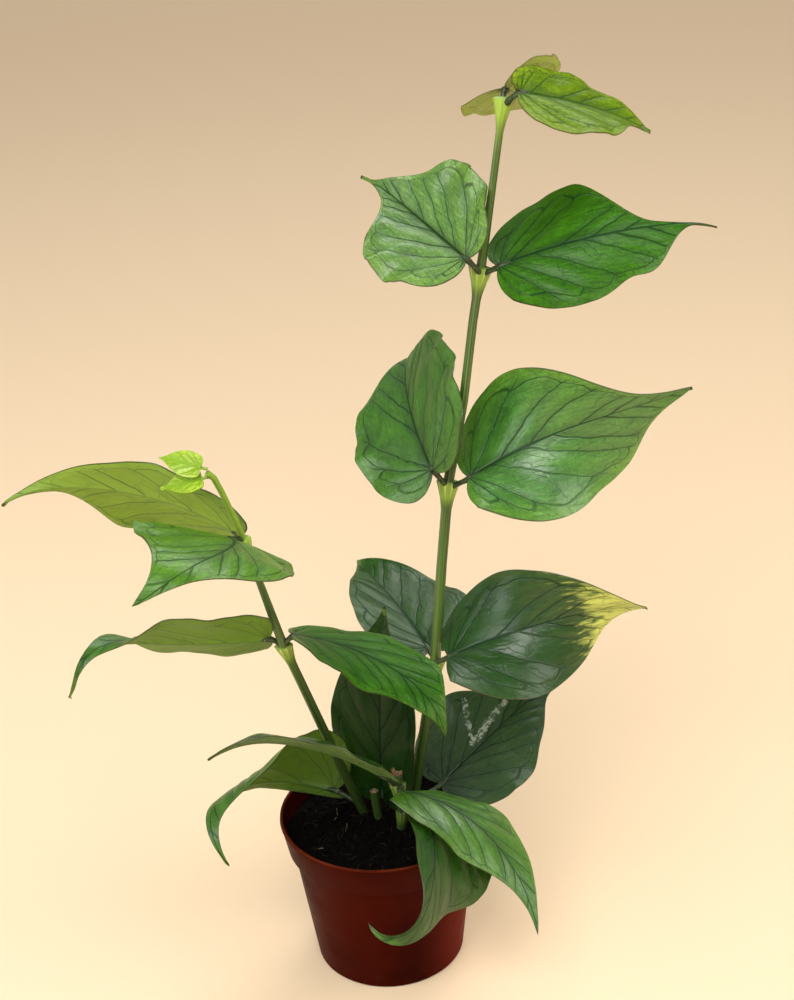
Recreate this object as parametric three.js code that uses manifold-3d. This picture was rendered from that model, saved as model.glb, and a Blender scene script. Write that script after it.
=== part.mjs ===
// A potted fishtail hoya: three shoots of thick, cordate leaves with long drawn-out tips, in a
// small round nursery pot. Millimetres and degrees, +Z up, origin at the centre of the pot's base.
// Each leaf, stem, the soil and the pot is a solid of its own.
import * as THREE from 'three';
import Module from 'manifold-3d';

const wasm = await Module();
wasm.setup();

// Driving dimensions.
const clearance = 0.5;

const pot = {
  height: 68,
  baseRadius: 31,
  bodyTopRadius: 38,
  collarHeight: 14,
  collarLowRadius: 40,
  rimRadius: 42.5,
  rimBead: 0.7,
  wall: 1.4,
  floor: 2,
  segments: 40,
  drainCount: 6,
  drainRadius: 3,
  drainCircle: 19,
};

const soil = {
  level: 61.5,
  lump: 0.9,
  crumb: 0.5,
  rings: 7,
  segments: 40,
  seed: 7,
};

const blade = {
  stations: 12,
  across: 3,
  turnSteps: 32,
  thickness: 1.0,
  edgeThickness: 0.8,
  tailHalfWidth: 0.9,
  bulgeAt: 0.78,
  bulgeSpread: 0.11,
  bulgeHeight: 0.22,
  petioleRadius: 1.25,
  petioleSides: 6,
  petioleReach: 5,
};

// Half outline of a flat blade: distance along the midrib over the length, then half width over
// the widest half width. It goes round the basal lobe first and ends in the drawn-out tip.
const bladeOutline = [
  { along: 0, across: 0 },
  { along: -0.045, across: 0.1 },
  { along: -0.075, across: 0.3 },
  { along: -0.055, across: 0.55 },
  { along: 0.04, across: 0.82 },
  { along: 0.2, across: 0.985 },
  { along: 0.36, across: 1 },
  { along: 0.52, across: 0.87 },
  { along: 0.67, across: 0.61 },
  { along: 0.79, across: 0.32 },
  { along: 0.89, across: 0.12 },
  { along: 1, across: 0 },
];

// Shoots: each path point is a leaf node or a bend between nodes. flare is the half width of the
// swelling under a pair of leaves, and the stem is slim again just above it.
const stem = {
  sides: 10,
  flatten: 0.62,
  flareLength: 12,
  flareMost: 0.9,
  buriedLevel: 38,
  shoulder: 0.9,
  holeSlack: 0.7,
  leafGap: 0.6,
};

const tallShoot = [
  { at: [11.4, 6.2, stem.buriedLevel], radius: 2.1 },
  { at: [12.3, 5.7, 61], radius: 2.1 },
  { at: [13.2, 5.7, 67], radius: 2.1, flare: 2.7 },
  { at: [25.3, 5, 133], radius: 2.1, flare: 4 },
  { at: [30, 4.5, 178], radius: 1.95 },
  { at: [34, 4, 212], radius: 2, flare: 4.4 },
  { at: [41, 3.4, 245], radius: 1.65 },
  { at: [45.6, 2.5, 276], radius: 1.6 },
  { at: [49.2, 2, 296], radius: 1.7, flare: 4.4 },
  { at: [54.4, 1, 327], radius: 1.3 },
  { at: [59, 0, 356], radius: 1.3, flare: 3.6 },
];

const leftShoot = [
  { at: [-4, 13, stem.buriedLevel], radius: 2 },
  { at: [-7.9, 7.8, 61], radius: 2 },
  { at: [-15.8, -0.8, 91], radius: 1.95 },
  { at: [-26, -22.5, 140.5], radius: 1.75 },
  { at: [-31.3, -35, 167], radius: 1.75, flare: 3.4 },
  { at: [-36.6, -48, 201], radius: 1.3 },
  { at: [-40, -55, 221.5], radius: 1.3, flare: 2.7 },
  { at: [-42.6, -58.5, 233], radius: 1.1 },
  { at: [-45, -62, 243], radius: 1.1 },
  { at: [-46.6, -64.6, 249], radius: 1.1 },
  { at: [-48.4, -66, 251.6], radius: 1.1 },
];

const cutShoot = [
  { at: [7.8, -4, stem.buriedLevel], radius: 2 },
  { at: [7.6, -5.2, 61], radius: 2 },
  { at: [8.6, -6, 70], radius: 2, flare: 2.9 },
  { at: [7.2, -7, 84], radius: 2, flare: 3.4 },
  { at: [7.2, -7, 89], radius: 1.9 },
];

const stubShoot = [
  { at: [-0.4, 3, stem.buriedLevel], radius: 1.8 },
  { at: [-1.8, 3, 61], radius: 1.8 },
  { at: [-2.9, 3, 74.5], radius: 1.7 },
];

// Leaves. base is where the leaf stalk meets the blade, and node the stem point that it grows
// from. heading is the compass bearing of the midrib (0 right, 90 back), rise its slope, roll
// the tilt of the blade. left and right are the half widths. arch, sweep and twist are turned
// over the whole blade, and tipArch, tipSweep and tipTwist more, beyond tipFrom. fold lifts a
// half from the midrib. lobe and tail scale the basal lobes and the width of the drawn-out tip,
// bulge widens a half just before that tip, and thread is the share of the length that is a thread.
const plainLeaf = {
  arch: 0, sweep: 0, twist: 0,
  tipFrom: 0.55, tipArch: 0, tipSweep: 0, tipTwist: 0,
  foldLeft: 5, foldRight: 5,
  lobe: 1, tailLeft: 1, tailRight: 1,
  bulgeLeft: 0, bulgeRight: 0, thread: 0,
  ripple: 0.8, ripples: 3, ripplePhase: 0,
};

const leaves = {
  leaf_top_right: {
    node: [60, -1.5, 355], base: [64, -6, 359],
    heading: 27, rise: -15, roll: 44, length: 66, left: 12, right: 20,
    arch: 18, sweep: 3, twist: -27, tipArch: 8, tipSweep: 4, tipTwist: 62,
    foldLeft: 12, foldRight: 11, tailLeft: 1.2, tailRight: 0.6, lobe: 0.6, bulgeLeft: 0.3, bulgeRight: -0.3,
  },
  leaf_top_back: {
    node: [58.5, 1.5, 355], base: [60, 9, 357.5],
    heading: 70, rise: -18, roll: -34, length: 56, left: 20, right: 19,
    arch: 1, twist: 5, foldLeft: 12, foldRight: 12, lobe: 1.2,
  },
  leaf_upper_left: {
    node: [49.2, 2, 293.5], base: [43.5, -5.5, 302],
    heading: 115, rise: 11, roll: -43, length: 70, left: 28, right: 27,
    arch: -23, sweep: 3, twist: 15, tipArch: 32, tipSweep: 9, tipTwist: -43,
    foldLeft: 23, foldRight: 25, lobe: 1.3, tailLeft: 0.4, tailRight: 0.55,
    ripple: 2, ripples: 4, bulgeRight: 0.5, thread: 0.06,
  },
  leaf_upper_right: {
    node: [49.2, 2, 293.5], base: [55.5, -3.5, 298],
    heading: 3, rise: 18, roll: 19, length: 81, left: 27, right: 24,
    arch: 15, sweep: -15, twist: 60, tipArch: 31, tipSweep: 7, tipTwist: -88,
    foldLeft: -11, foldRight: -12, lobe: 0.5, tailLeft: 0.3, tailRight: 0.9,
    bulgeLeft: -0.3, bulgeRight: 1.5, thread: 0.12,
  },
  leaf_middle_left: {
    node: [34, 4, 209.5], base: [28, -1, 219.5],
    heading: 111, rise: 32, roll: -57, length: 84, left: 28, right: 32,
    arch: 45, sweep: 3, twist: 10, tipArch: 75, tipSweep: 1, tipTwist: 10,
    foldLeft: 9, foldRight: 15, lobe: 1.1, tailLeft: 0.9, tailRight: 1.2,
    ripple: 1.5, ripples: 4, ripplePhase: 40, tipFrom: 0.7,
  },
  leaf_middle_right: {
    node: [34, 4, 209.5], base: [42, -2, 216],
    heading: 1, rise: 30, roll: 14, length: 89, left: 28, right: 30,
    arch: 1, sweep: -25, twist: 154, tipArch: 3, tipSweep: 10, tipTwist: -67,
    foldLeft: 2, foldRight: 5, lobe: 0.4, tailLeft: 0.9, tailRight: 1.55, bulgeLeft: -0.3, bulgeRight: -0.3,
  },
  leaf_low_back: {
    node: [25.3, 5, 133], base: [23, 12.5, 135],
    heading: 109, rise: 9, roll: -4, length: 84, left: 21, right: 28,
    arch: 9, sweep: 8, twist: 26, tipArch: 27, tipSweep: -18, tipTwist: -112,
    lobe: 0.9, tailLeft: 0.9, tailRight: 1.1, foldLeft: 6, foldRight: 6,
  },
  leaf_low_right: {
    node: [25.3, 5, 133], base: [30.5, -5.5, 141],
    heading: 1, rise: 23, roll: 7, length: 84.5, left: 24, right: 27,
    arch: 15, sweep: -14, twist: 148, tipArch: 5, tipSweep: -52, tipTwist: -10,
    foldLeft: 0, foldRight: 8, lobe: 0.2, tailLeft: 1.2, tailRight: 1.15,
  },
  leaf_side_left: {
    node: [-31.5, -35, 167], base: [-36.2, -37.4, 172.2],
    heading: 187, rise: 1, roll: 52, length: 86, left: 23, right: 28,
    arch: -13, sweep: 12, twist: -12, tipFrom: 0.45, tipArch: 117, tipSweep: 93, tipTwist: -182,
    foldLeft: 0, foldRight: 10, lobe: 0.25, tailLeft: 0.3, tailRight: 0.2,
  },
  leaf_side_right: {
    node: [-31.5, -35, 167], base: [-27, -38, 173],
    heading: 3, rise: -15, roll: -24, length: 72, left: 21, right: 24,
    arch: 32, sweep: -45, twist: 46, tipArch: 47, tipSweep: 8, tipTwist: 19,
    foldLeft: 3, foldRight: -5, lobe: 0.25, tailLeft: 1.5, tailRight: 0.75,
    bulgeLeft: -0.2, bulgeRight: 0.3,
  },
  leaf_side_upper_back: {
    node: [-40, -55, 221.5], base: [-41.5, -46, 219],
    heading: 164, rise: 33, roll: 48, length: 87, left: 18, right: 25,
    arch: 51, sweep: -2, twist: 41, tipArch: -12, tipSweep: -38, tipTwist: 48,
    foldLeft: 2, foldRight: 1, lobe: 0.2, tailLeft: 0.8, tailRight: 0.2,
  },
  leaf_side_upper_front: {
    node: [-40, -55, 221.5], base: [-44, -61.5, 225],
    heading: -71, rise: 20, roll: -34, length: 83, left: 22, right: 33,
    arch: 39, sweep: -55, tipArch: 89, tipSweep: -4, tipTwist: -44,
    foldLeft: -1, foldRight: -12, lobe: 0.6, tailLeft: 0.5, tailRight: 1.1,
  },
  leaf_cut_left: {
    node: [6, -7.5, 84.5], base: [3, -16, 94],
    heading: 186, rise: 41, roll: 22, length: 87, left: 18, right: 10,
    arch: 35, sweep: 30, twist: 25, tipArch: 22, tipSweep: -19, tipTwist: 25,
    foldLeft: 4, foldRight: 13, lobe: 0.2, tailLeft: 1.3, tailRight: 1.4,
  },
  leaf_cut_right: {
    node: [8.4, -8, 83.5], base: [8.5, -16.5, 87],
    heading: -18, rise: 0, roll: -31, length: 83, left: 24, right: 21,
    arch: 81, sweep: -7, twist: 41, tipArch: -20, tipSweep: -21, tipTwist: 26,
    foldLeft: -5, foldRight: -12, lobe: 0, tailLeft: 0.8, tailRight: 0.6,
  },
  leaf_cut_front: {
    node: [8.6, -6, 70], base: [17.5, -19.5, 77],
    heading: -84, rise: 32, roll: -2, length: 86, left: 33, right: 9,
    arch: 118, sweep: 15, twist: -82, tipFrom: 0.58, tipArch: 28, tipSweep: -132, tipTwist: 91,
    foldLeft: -25, foldRight: 6, lobe: 0.4, tailLeft: 0.6, tailRight: 0.2,
  },
  leaf_base_left: {
    node: [-7.9, 7.8, 64], base: [-19.5, 13, 69.5],
    heading: 165, rise: 13, roll: 105, length: 93, left: 33, right: 5,
    arch: 129, sweep: 14, twist: -65, tipArch: 101, tipSweep: 11, tipTwist: -49,
    foldLeft: -13, foldRight: -4, lobe: 0.7, tailLeft: 0.3, tailRight: 1.1,
  },
  leaf_base_back: {
    node: [13.2, 5.7, 67], base: [0.5, 9, 67],
    heading: 85, rise: 90, roll: -34, length: 98, left: 22, right: 18,
    arch: 5, sweep: -7, twist: 27, tipArch: -41, tipSweep: -12, tipTwist: -8,
    foldLeft: 5, foldRight: 8, lobe: 0.4, tailLeft: 1, tailRight: 0.7,
  },
  leaf_base_right: {
    node: [13.2, 5.7, 66.5], base: [26.2, 14.3, 68.8],
    heading: 27, rise: 32, roll: 2, length: 63, left: 30, right: 30.5,
    arch: -2, sweep: -3, twist: 28, tipArch: 33, tipSweep: -14, tipTwist: 10,
    foldLeft: 4, foldRight: 5, lobe: 0.8, tailLeft: 0.65, tailRight: 0.9, bulgeRight: 0.5,
  },
  leaf_new_upper: {
    node: [-48.2, -65.8, 253], base: [-50.6, -66.2, 254],
    heading: 180, rise: 24, roll: -50, length: 15, left: 4.6, right: 4.6,
    arch: 40, ripple: 0, lobe: 0.4, foldLeft: -8, foldRight: -8, small: true,
  },
  leaf_new_lower: {
    node: [-48.4, -66.4, 250.4], base: [-50.6, -66.4, 250],
    heading: 186, rise: -14, roll: -44, length: 14, left: 4.2, right: 4.2,
    arch: -20, ripple: 0, lobe: 0.4, foldLeft: 10, foldRight: 10, small: true,
  },
};

const smallLeaf = {
  thickness: 0.7, edgeThickness: 0.6, stations: 8, across: 2, petioleRadius: 0.6, petioleReach: 1.5,
};

// Plain vector and curve helpers.
const vec = (p) => new THREE.Vector3(p[0], p[1], p[2]);
const radians = THREE.MathUtils.degToRad;
const lerp = THREE.MathUtils.lerp;
const smooth = (from, to, x) => THREE.MathUtils.smoothstep(x, from, to);

function seededRandom(seed) {
  let state = seed;
  return () => {
    state = (state * 16807) % 2147483647;
    return state / 2147483647;
  };
}

function catmull(p0, p1, p2, p3, u) {
  const a = 2 * p1;
  const b = (p2 - p0) * u;
  const c = (2 * p0 - 5 * p1 + 4 * p2 - p3) * u * u;
  const d = (3 * p1 - p0 - 3 * p2 + p3) * u * u * u;
  return 0.5 * (a + b + c + d);
}

function outlineAt(share) {
  const last = bladeOutline.length - 1;
  const t = share * last;
  const k = Math.min(Math.floor(t), last - 1);
  const point = (i, key) => {
    if (i < 0) return 2 * bladeOutline[0][key] - bladeOutline[1][key];
    if (i > last) return 2 * bladeOutline[last][key] - bladeOutline[last - 1][key];
    return bladeOutline[i][key];
  };
  const at = (key) => {
    const [p0, p1, p2, p3] = [k - 1, k, k + 1, k + 2].map((i) => point(i, key));
    return catmull(p0, p1, p2, p3, t - k);
  };
  return { along: at('along'), across: at('across') };
}

// Closed meshes.
function closedSolid(points, faces) {
  const mesh = new wasm.Mesh({
    numProp: 3,
    vertProperties: new Float32Array(points.flatMap((p) => [p.x, p.y, p.z])),
    triVerts: new Uint32Array(faces.flat()),
  });
  return new wasm.Manifold(mesh);
}

function lathe(profile, segments) {
  const points = [];
  const ringStart = [];
  profile.forEach((p) => {
    ringStart.push(points.length);
    const copies = p.radius === 0 ? 1 : segments;
    for (let s = 0; s < copies; s += 1) {
      const turn = (2 * Math.PI * s) / segments;
      points.push(new THREE.Vector3(p.radius * Math.cos(turn), p.radius * Math.sin(turn), p.level));
    }
  });
  const vertex = (ring, s) => ringStart[ring] + (profile[ring].radius === 0 ? 0 : s % segments);
  const faces = [];
  for (let ring = 0; ring < profile.length - 1; ring += 1) {
    for (let s = 0; s < segments; s += 1) {
      const a = vertex(ring, s);
      const b = vertex(ring, s + 1);
      const c = vertex(ring + 1, s + 1);
      const d = vertex(ring + 1, s);
      if (a !== b) faces.push([a, b, c]);
      if (c !== d) faces.push([a, c, d]);
    }
  }
  return closedSolid(points, faces);
}

// A tube through rings, each with a centre, two half widths and the way its wide side faces.
function tube(rings, sides) {
  const points = [];
  rings.forEach((ring, i) => {
    const before = rings[Math.max(i - 1, 0)].centre;
    const after = rings[Math.min(i + 1, rings.length - 1)].centre;
    const along = after.clone().sub(before).normalize();
    const wide = ring.wideWay.clone().addScaledVector(along, -ring.wideWay.dot(along)).normalize();
    const thin = along.clone().cross(wide);
    for (let s = 0; s < sides; s += 1) {
      const turn = (2 * Math.PI * s) / sides;
      const point = ring.centre.clone();
      point.addScaledVector(wide, ring.wideRadius * Math.cos(turn));
      point.addScaledVector(thin, ring.thinRadius * Math.sin(turn));
      points.push(point);
    }
  });
  const faces = [];
  for (let i = 0; i < rings.length - 1; i += 1) {
    for (let s = 0; s < sides; s += 1) {
      const next = (s + 1) % sides;
      const a = i * sides + s;
      const b = i * sides + next;
      faces.push([a, b, b + sides]);
      faces.push([a, b + sides, a + sides]);
    }
  }
  const first = points.push(rings[0].centre.clone()) - 1;
  const last = points.push(rings[rings.length - 1].centre.clone()) - 1;
  const lastRing = (rings.length - 1) * sides;
  for (let s = 0; s < sides; s += 1) {
    const next = (s + 1) % sides;
    faces.push([first, next, s]);
    faces.push([last, lastRing + s, lastRing + next]);
  }
  return closedSolid(points, faces);
}

// Stems.
// The rings that shape the swelling under a node, as shares of its length, and how it widens.
const flareRings = [0, 0.4, 0.75, 1];
const flarePower = 1.4;

function stemRings(shoot, extra) {
  const wideWay = new THREE.Vector3(1, 0, 0);
  const rings = [];
  const addRing = (centre, wideRadius, thinRadius) => {
    rings.push({ centre, wideRadius: wideRadius + extra, thinRadius: thinRadius + extra, wideWay });
  };
  shoot.forEach((stop, i) => {
    const here = vec(stop.at);
    if (i === 0) {
      addRing(here, stop.radius, stop.radius);
      return;
    }
    const before = shoot[i - 1];
    const from = vec(before.at);
    if (before.flare) {
      const way = here.distanceTo(from);
      const top = from.clone().lerp(here, extra / way);
      if (extra > 0) addRing(top, before.flare, before.flare * stem.flatten);
      const shoulder = from.clone().lerp(here, (stem.shoulder + extra) / way);
      addRing(shoulder, before.radius, before.radius * 0.95);
    }
    if (!stop.flare) {
      addRing(here, stop.radius, stop.radius);
      return;
    }
    const flareShare = Math.min(stem.flareMost, stem.flareLength / here.distanceTo(from));
    flareRings.forEach((step) => {
      const grow = step ** flarePower;
      const wide = lerp(stop.radius, stop.flare, grow);
      const thin = Math.max(stop.radius, wide * lerp(1, stem.flatten, grow));
      addRing(from.clone().lerp(here, lerp(1 - flareShare, 1, step)), wide, thin);
    });
  });
  const end = rings[rings.length - 1];
  const onward = end.centre.clone().sub(rings[rings.length - 2].centre).normalize();
  if (extra > 0) rings.push({ ...end, centre: end.centre.clone().addScaledVector(onward, extra) });
  return rings;
}

const stemSolid = (shoot, extra = 0) => tube(stemRings(shoot, extra), stem.sides);

// Leaves.
const xAxis = new THREE.Vector3(1, 0, 0);
const yAxis = new THREE.Vector3(0, 1, 0);
const zAxis = new THREE.Vector3(0, 0, 1);
const turned = (axis, degrees) => new THREE.Matrix4().makeRotationAxis(axis, radians(degrees));

// Stations along the midrib, each with its place and the along, left and up directions there.
function midribStations(leaf) {
  const steps = blade.turnSteps;
  const frame = turned(zAxis, leaf.heading);
  frame.multiply(turned(yAxis, -leaf.rise));
  frame.multiply(turned(xAxis, leaf.roll));
  const place = vec(leaf.base);
  const stations = [];
  const keep = () => {
    const along = new THREE.Vector3();
    const left = new THREE.Vector3();
    const up = new THREE.Vector3();
    frame.extractBasis(along, left, up);
    stations.push({ place: place.clone(), along, left, up });
  };
  keep();
  for (let i = 0; i < steps; i += 1) {
    const share = (i + 0.5) / steps;
    const beyond = Math.max(0, (share - leaf.tipFrom) / (1 - leaf.tipFrom));
    const tipShare = (beyond * 2) / (1 - leaf.tipFrom);
    const arch = (leaf.arch + leaf.tipArch * tipShare) / steps;
    const sweep = (leaf.sweep + leaf.tipSweep * tipShare) / steps;
    const twist = (leaf.twist + leaf.tipTwist * tipShare) / steps;
    const middle = frame.clone().multiply(turned(yAxis, arch / 2)).multiply(turned(zAxis, sweep / 2));
    place.addScaledVector(new THREE.Vector3().setFromMatrixColumn(middle, 0), leaf.length / steps);
    frame.multiply(turned(yAxis, arch)).multiply(turned(zAxis, sweep)).multiply(turned(xAxis, twist));
    keep();
  }
  return stations;
}

function stationAt(stations, share) {
  const steps = stations.length - 1;
  const t = THREE.MathUtils.clamp(share, 0, 1) * steps;
  const k = Math.min(Math.floor(t), steps - 1);
  const mix = (key) => stations[k][key].clone().lerp(stations[k + 1][key], t - k);
  return { place: mix('place'), along: mix('along'), left: mix('left'), up: mix('up') };
}

// One point of the blade's middle surface and the way its upper face looks there. side is 1 on
// the left half and -1 on the right, along and across are distances on the flat blade.
function bladePoint(leaf, stations, side, along, across) {
  const here = stationAt(stations, along / leaf.length);
  const halfWidth = side > 0 ? leaf.left : leaf.right;
  const fold = radians(side > 0 ? leaf.foldLeft : leaf.foldRight);
  const point = here.place;
  if (along < 0) point.addScaledVector(stations[0].along, along);
  point.addScaledVector(here.left, side * across * Math.cos(fold));
  point.addScaledVector(here.up, across * Math.sin(fold));
  const up = here.up.multiplyScalar(Math.cos(fold)).addScaledVector(here.left, -side * Math.sin(fold));
  const reach = across / halfWidth;
  const sideShift = side > 0 ? 0 : 100;
  const phase = radians(leaf.ripplePhase + sideShift + 360 * leaf.ripples * (along / leaf.length));
  point.addScaledVector(up, leaf.ripple * reach * reach * Math.sin(phase));
  return { point, up };
}

function bladeSolid(leaf, size, stations) {
  const n = size.stations;
  const m = size.across;
  const upper = [];
  const under = [];
  const addPoint = (spot, thickness) => {
    upper.push(spot.point.clone().addScaledVector(spot.up, thickness / 2));
    under.push(spot.point.clone().addScaledVector(spot.up, -thickness / 2));
  };
  const bladeEnd = Math.round(n * (1 - leaf.thread));
  const threadShare = (i) => lerp(1 - leaf.thread, 1, (i - bladeEnd) / (n - bladeEnd));
  const midribShare = (i) => {
    if (i > bladeEnd) return threadShare(i);
    return (i / bladeEnd) ** 1.25 * (1 - leaf.thread);
  };
  for (let i = 0; i <= n; i += 1) {
    const middle = stationAt(stations, midribShare(i));
    addPoint({ point: middle.place, up: middle.up }, lerp(size.thickness, size.edgeThickness, i / n));
  }
  [1, -1].forEach((side) => {
    const tail = side > 0 ? leaf.tailLeft : leaf.tailRight;
    const bulge = side > 0 ? leaf.bulgeLeft : leaf.bulgeRight;
    const halfWidth = side > 0 ? leaf.left : leaf.right;
    for (let i = 1; i < n; i += 1) {
      const edge = outlineAt(Math.min(1, i / bladeEnd));
      const shareAlong = edge.along * (edge.along < 0 ? leaf.lobe : 1) * (1 - leaf.thread);
      const edgeAlong = (i > bladeEnd ? threadShare(i) : shareAlong) * leaf.length;
      const fromBulge = (edge.along - blade.bulgeAt) / blade.bulgeSpread;
      const bulged = edge.across + bulge * blade.bulgeHeight * Math.exp(-fromBulge * fromBulge);
      const tailed = bulged * (1 + (tail - 1) * smooth(0.45, 0.8, edge.along)) * halfWidth;
      const edgeAcross = Math.max(tailed, blade.tailHalfWidth * (leaf.small ? 0.5 : 1));
      for (let j = 1; j <= m; j += 1) {
        const share = j / m;
        const along = lerp(midribShare(i) * leaf.length, edgeAlong, share);
        const thickness = lerp(size.thickness, size.edgeThickness, share);
        addPoint(bladePoint(leaf, stations, side, along, edgeAcross * share), thickness);
      }
    }
  });
  const vertex = (side, i, j) => {
    if (i === 0) return 0;
    if (i === n) return n;
    if (j === 0) return i;
    return n + 1 + (side > 0 ? 0 : (n - 1) * m) + (i - 1) * m + (j - 1);
  };
  const total = upper.length;
  const faces = [];
  const addFace = (side, a, b, c) => {
    if (a === b || b === c || a === c) return;
    const [p, q, r] = side > 0 ? [a, b, c] : [a, c, b];
    faces.push([p, q, r]);
    faces.push([p + total, r + total, q + total]);
  };
  [1, -1].forEach((side) => {
    for (let i = 0; i < n; i += 1) {
      for (let j = 0; j < m; j += 1) {
        const a = vertex(side, i, j);
        const b = vertex(side, i + 1, j);
        const c = vertex(side, i + 1, j + 1);
        const d = vertex(side, i, j + 1);
        addFace(side, a, b, c);
        addFace(side, a, c, d);
      }
      const from = vertex(side, i, m);
      const to = vertex(side, i + 1, m);
      const [p, q] = side > 0 ? [from, to] : [to, from];
      faces.push([p, q, q + total]);
      faces.push([p, q + total, p + total]);
    }
  });
  return closedSolid(upper.concat(under), faces);
}

// The leaf stalk runs from the stem to the blade's base and a little way under the midrib. It is
// cut just clear of the stem, so that leaf and stem stay two solids.
function petioleSolid(leaf, size, stations, stemKeepOut) {
  const base = stations[0].place;
  const node = vec(leaf.node);
  const under = stationAt(stations, size.petioleReach / leaf.length);
  const end = under.place.addScaledVector(under.up, -size.thickness * 0.4);
  const start = base.clone().addScaledVector(stations[0].up, -size.thickness * 0.4);
  const wideWay = stations[0].left;
  const ring = (centre, radius) => ({ centre, wideRadius: radius, thinRadius: radius, wideWay });
  const rings = [
    ring(node, size.petioleRadius),
    ring(node.clone().lerp(start, 0.5), size.petioleRadius * 0.95),
    ring(start, size.petioleRadius),
    ring(end, size.petioleRadius * 0.45),
  ];
  return tube(rings, blade.petioleSides).subtract(stemKeepOut);
}

function leafSolid(leaf, stemKeepOut) {
  const size = leaf.small ? { ...blade, ...smallLeaf } : blade;
  const stations = midribStations(leaf);
  return bladeSolid(leaf, size, stations).add(petioleSolid(leaf, size, stations, stemKeepOut));
}

// Pot and soil.
const collarLevel = pot.height - pot.collarHeight;

function potInnerRadius(level) {
  const low = { level: pot.floor, radius: pot.baseRadius - pot.wall };
  const step = { level: collarLevel + pot.wall, radius: pot.bodyTopRadius - pot.wall };
  const wide = { level: step.level + pot.wall, radius: pot.collarLowRadius - pot.wall };
  const top = { level: pot.height, radius: pot.rimRadius - pot.wall };
  const stops = [low, step, wide, top];
  const k = Math.min(stops.findIndex((s, i) => i > 0 && level <= s.level), stops.length - 1);
  const a = stops[k - 1];
  const b = stops[k];
  return lerp(a.radius, b.radius, (level - a.level) / (b.level - a.level));
}

function potSolid() {
  const insideStep = collarLevel + pot.wall;
  const profile = [
    { radius: 0, level: 0 },
    { radius: pot.baseRadius - 0.8, level: 0 },
    { radius: pot.baseRadius, level: 0.8 },
    { radius: pot.bodyTopRadius, level: collarLevel },
    { radius: pot.collarLowRadius, level: collarLevel },
    { radius: pot.rimRadius, level: pot.height - pot.rimBead },
    { radius: pot.rimRadius - pot.wall / 2, level: pot.height },
    { radius: pot.rimRadius - pot.wall, level: pot.height - pot.rimBead },
    { radius: potInnerRadius(insideStep + pot.wall), level: insideStep + pot.wall },
    { radius: potInnerRadius(insideStep), level: insideStep },
    { radius: potInnerRadius(pot.floor), level: pot.floor },
    { radius: 0, level: pot.floor },
  ];
  let solid = lathe(profile, pot.segments);
  for (let i = 0; i < pot.drainCount; i += 1) {
    const turn = (2 * Math.PI * i) / pot.drainCount;
    const x = pot.drainCircle * Math.cos(turn);
    const y = pot.drainCircle * Math.sin(turn);
    const ring = (level) => ({
      centre: new THREE.Vector3(x, y, level),
      wideRadius: pot.drainRadius,
      thinRadius: pot.drainRadius,
      wideWay: xAxis,
    });
    solid = solid.subtract(tube([ring(-1), ring(pot.floor + 1)], 12));
  }
  return solid;
}

// A stem's hole in the soil is a plain round one, a little wider than the stem.
const holeDepth = 0.6;

function stemHole(shoot) {
  const bottom = vec(shoot[0].at);
  const top = vec(shoot[1].at);
  const along = top.clone().sub(bottom).normalize();
  const radius = Math.max(shoot[0].radius, shoot[1].radius) + stem.holeSlack;
  const ring = (centre) => ({ centre, wideRadius: radius, thinRadius: radius, wideWay: xAxis });
  return tube([
    ring(bottom.addScaledVector(along, -holeDepth)),
    ring(top.addScaledVector(along, 8)),
  ], 12);
}

function soilSolid(shoots) {
  const random = seededRandom(soil.seed);
  const points = [];
  const faces = [];
  const edgeRadius = potInnerRadius(soil.level) - clearance;
  const heightAt = (x, y) => {
    const swell = Math.sin(x * 0.17 + 1.1) * Math.cos(y * 0.21 - 0.4) + 0.6 * Math.sin(x * 0.41 - y * 0.33);
    return soil.level + soil.lump * 0.6 * swell + soil.crumb * (random() - 0.5);
  };
  const addRing = (radius, levelAt) => {
    for (let s = 0; s < soil.segments; s += 1) {
      const turn = (2 * Math.PI * s) / soil.segments;
      const x = radius * Math.cos(turn);
      const y = radius * Math.sin(turn);
      points.push(new THREE.Vector3(x, y, levelAt(x, y)));
    }
  };
  const innerStep = collarLevel + pot.wall;
  const sideStops = [soil.level - 1.2, innerStep + pot.wall, innerStep, pot.floor + clearance];
  points.push(new THREE.Vector3(0, 0, heightAt(0, 0)));
  for (let r = 1; r <= soil.rings; r += 1) {
    addRing((edgeRadius - 0.3) * (r / soil.rings), heightAt);
  }
  sideStops.forEach((level) => {
    addRing(potInnerRadius(level) - clearance, () => level);
  });
  const rings = soil.rings + sideStops.length;
  const bottom = points.push(new THREE.Vector3(0, 0, pot.floor + clearance)) - 1;
  const vertex = (ring, s) => 1 + (ring - 1) * soil.segments + (s % soil.segments);
  for (let s = 0; s < soil.segments; s += 1) {
    faces.push([0, vertex(1, s), vertex(1, s + 1)]);
    faces.push([bottom, vertex(rings, s + 1), vertex(rings, s)]);
    for (let ring = 1; ring < rings; ring += 1) {
      faces.push([vertex(ring, s), vertex(ring + 1, s), vertex(ring + 1, s + 1)]);
      faces.push([vertex(ring, s), vertex(ring + 1, s + 1), vertex(ring, s + 1)]);
    }
  }
  let solid = closedSolid(points, faces);
  shoots.forEach((shoot) => {
    solid = solid.subtract(stemHole(shoot));
  });
  return solid;
}

// Finishes and the named parts.
const finish = (color, roughness) => new THREE.MeshStandardMaterial({ color, roughness, metalness: 0 });
const finishes = {
  potPlastic: finish(0x9c3518, 0.45),
  soil: finish(0x17110d, 0.95),
  stem: finish(0x4d7a2a, 0.5),
  leaf: finish(0x2c6a1e, 0.38),
  oldLeaf: finish(0x1f4424, 0.4),
  youngLeaf: finish(0x7da62e, 0.4),
  newLeaf: finish(0xa9cf34, 0.4),
};

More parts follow.
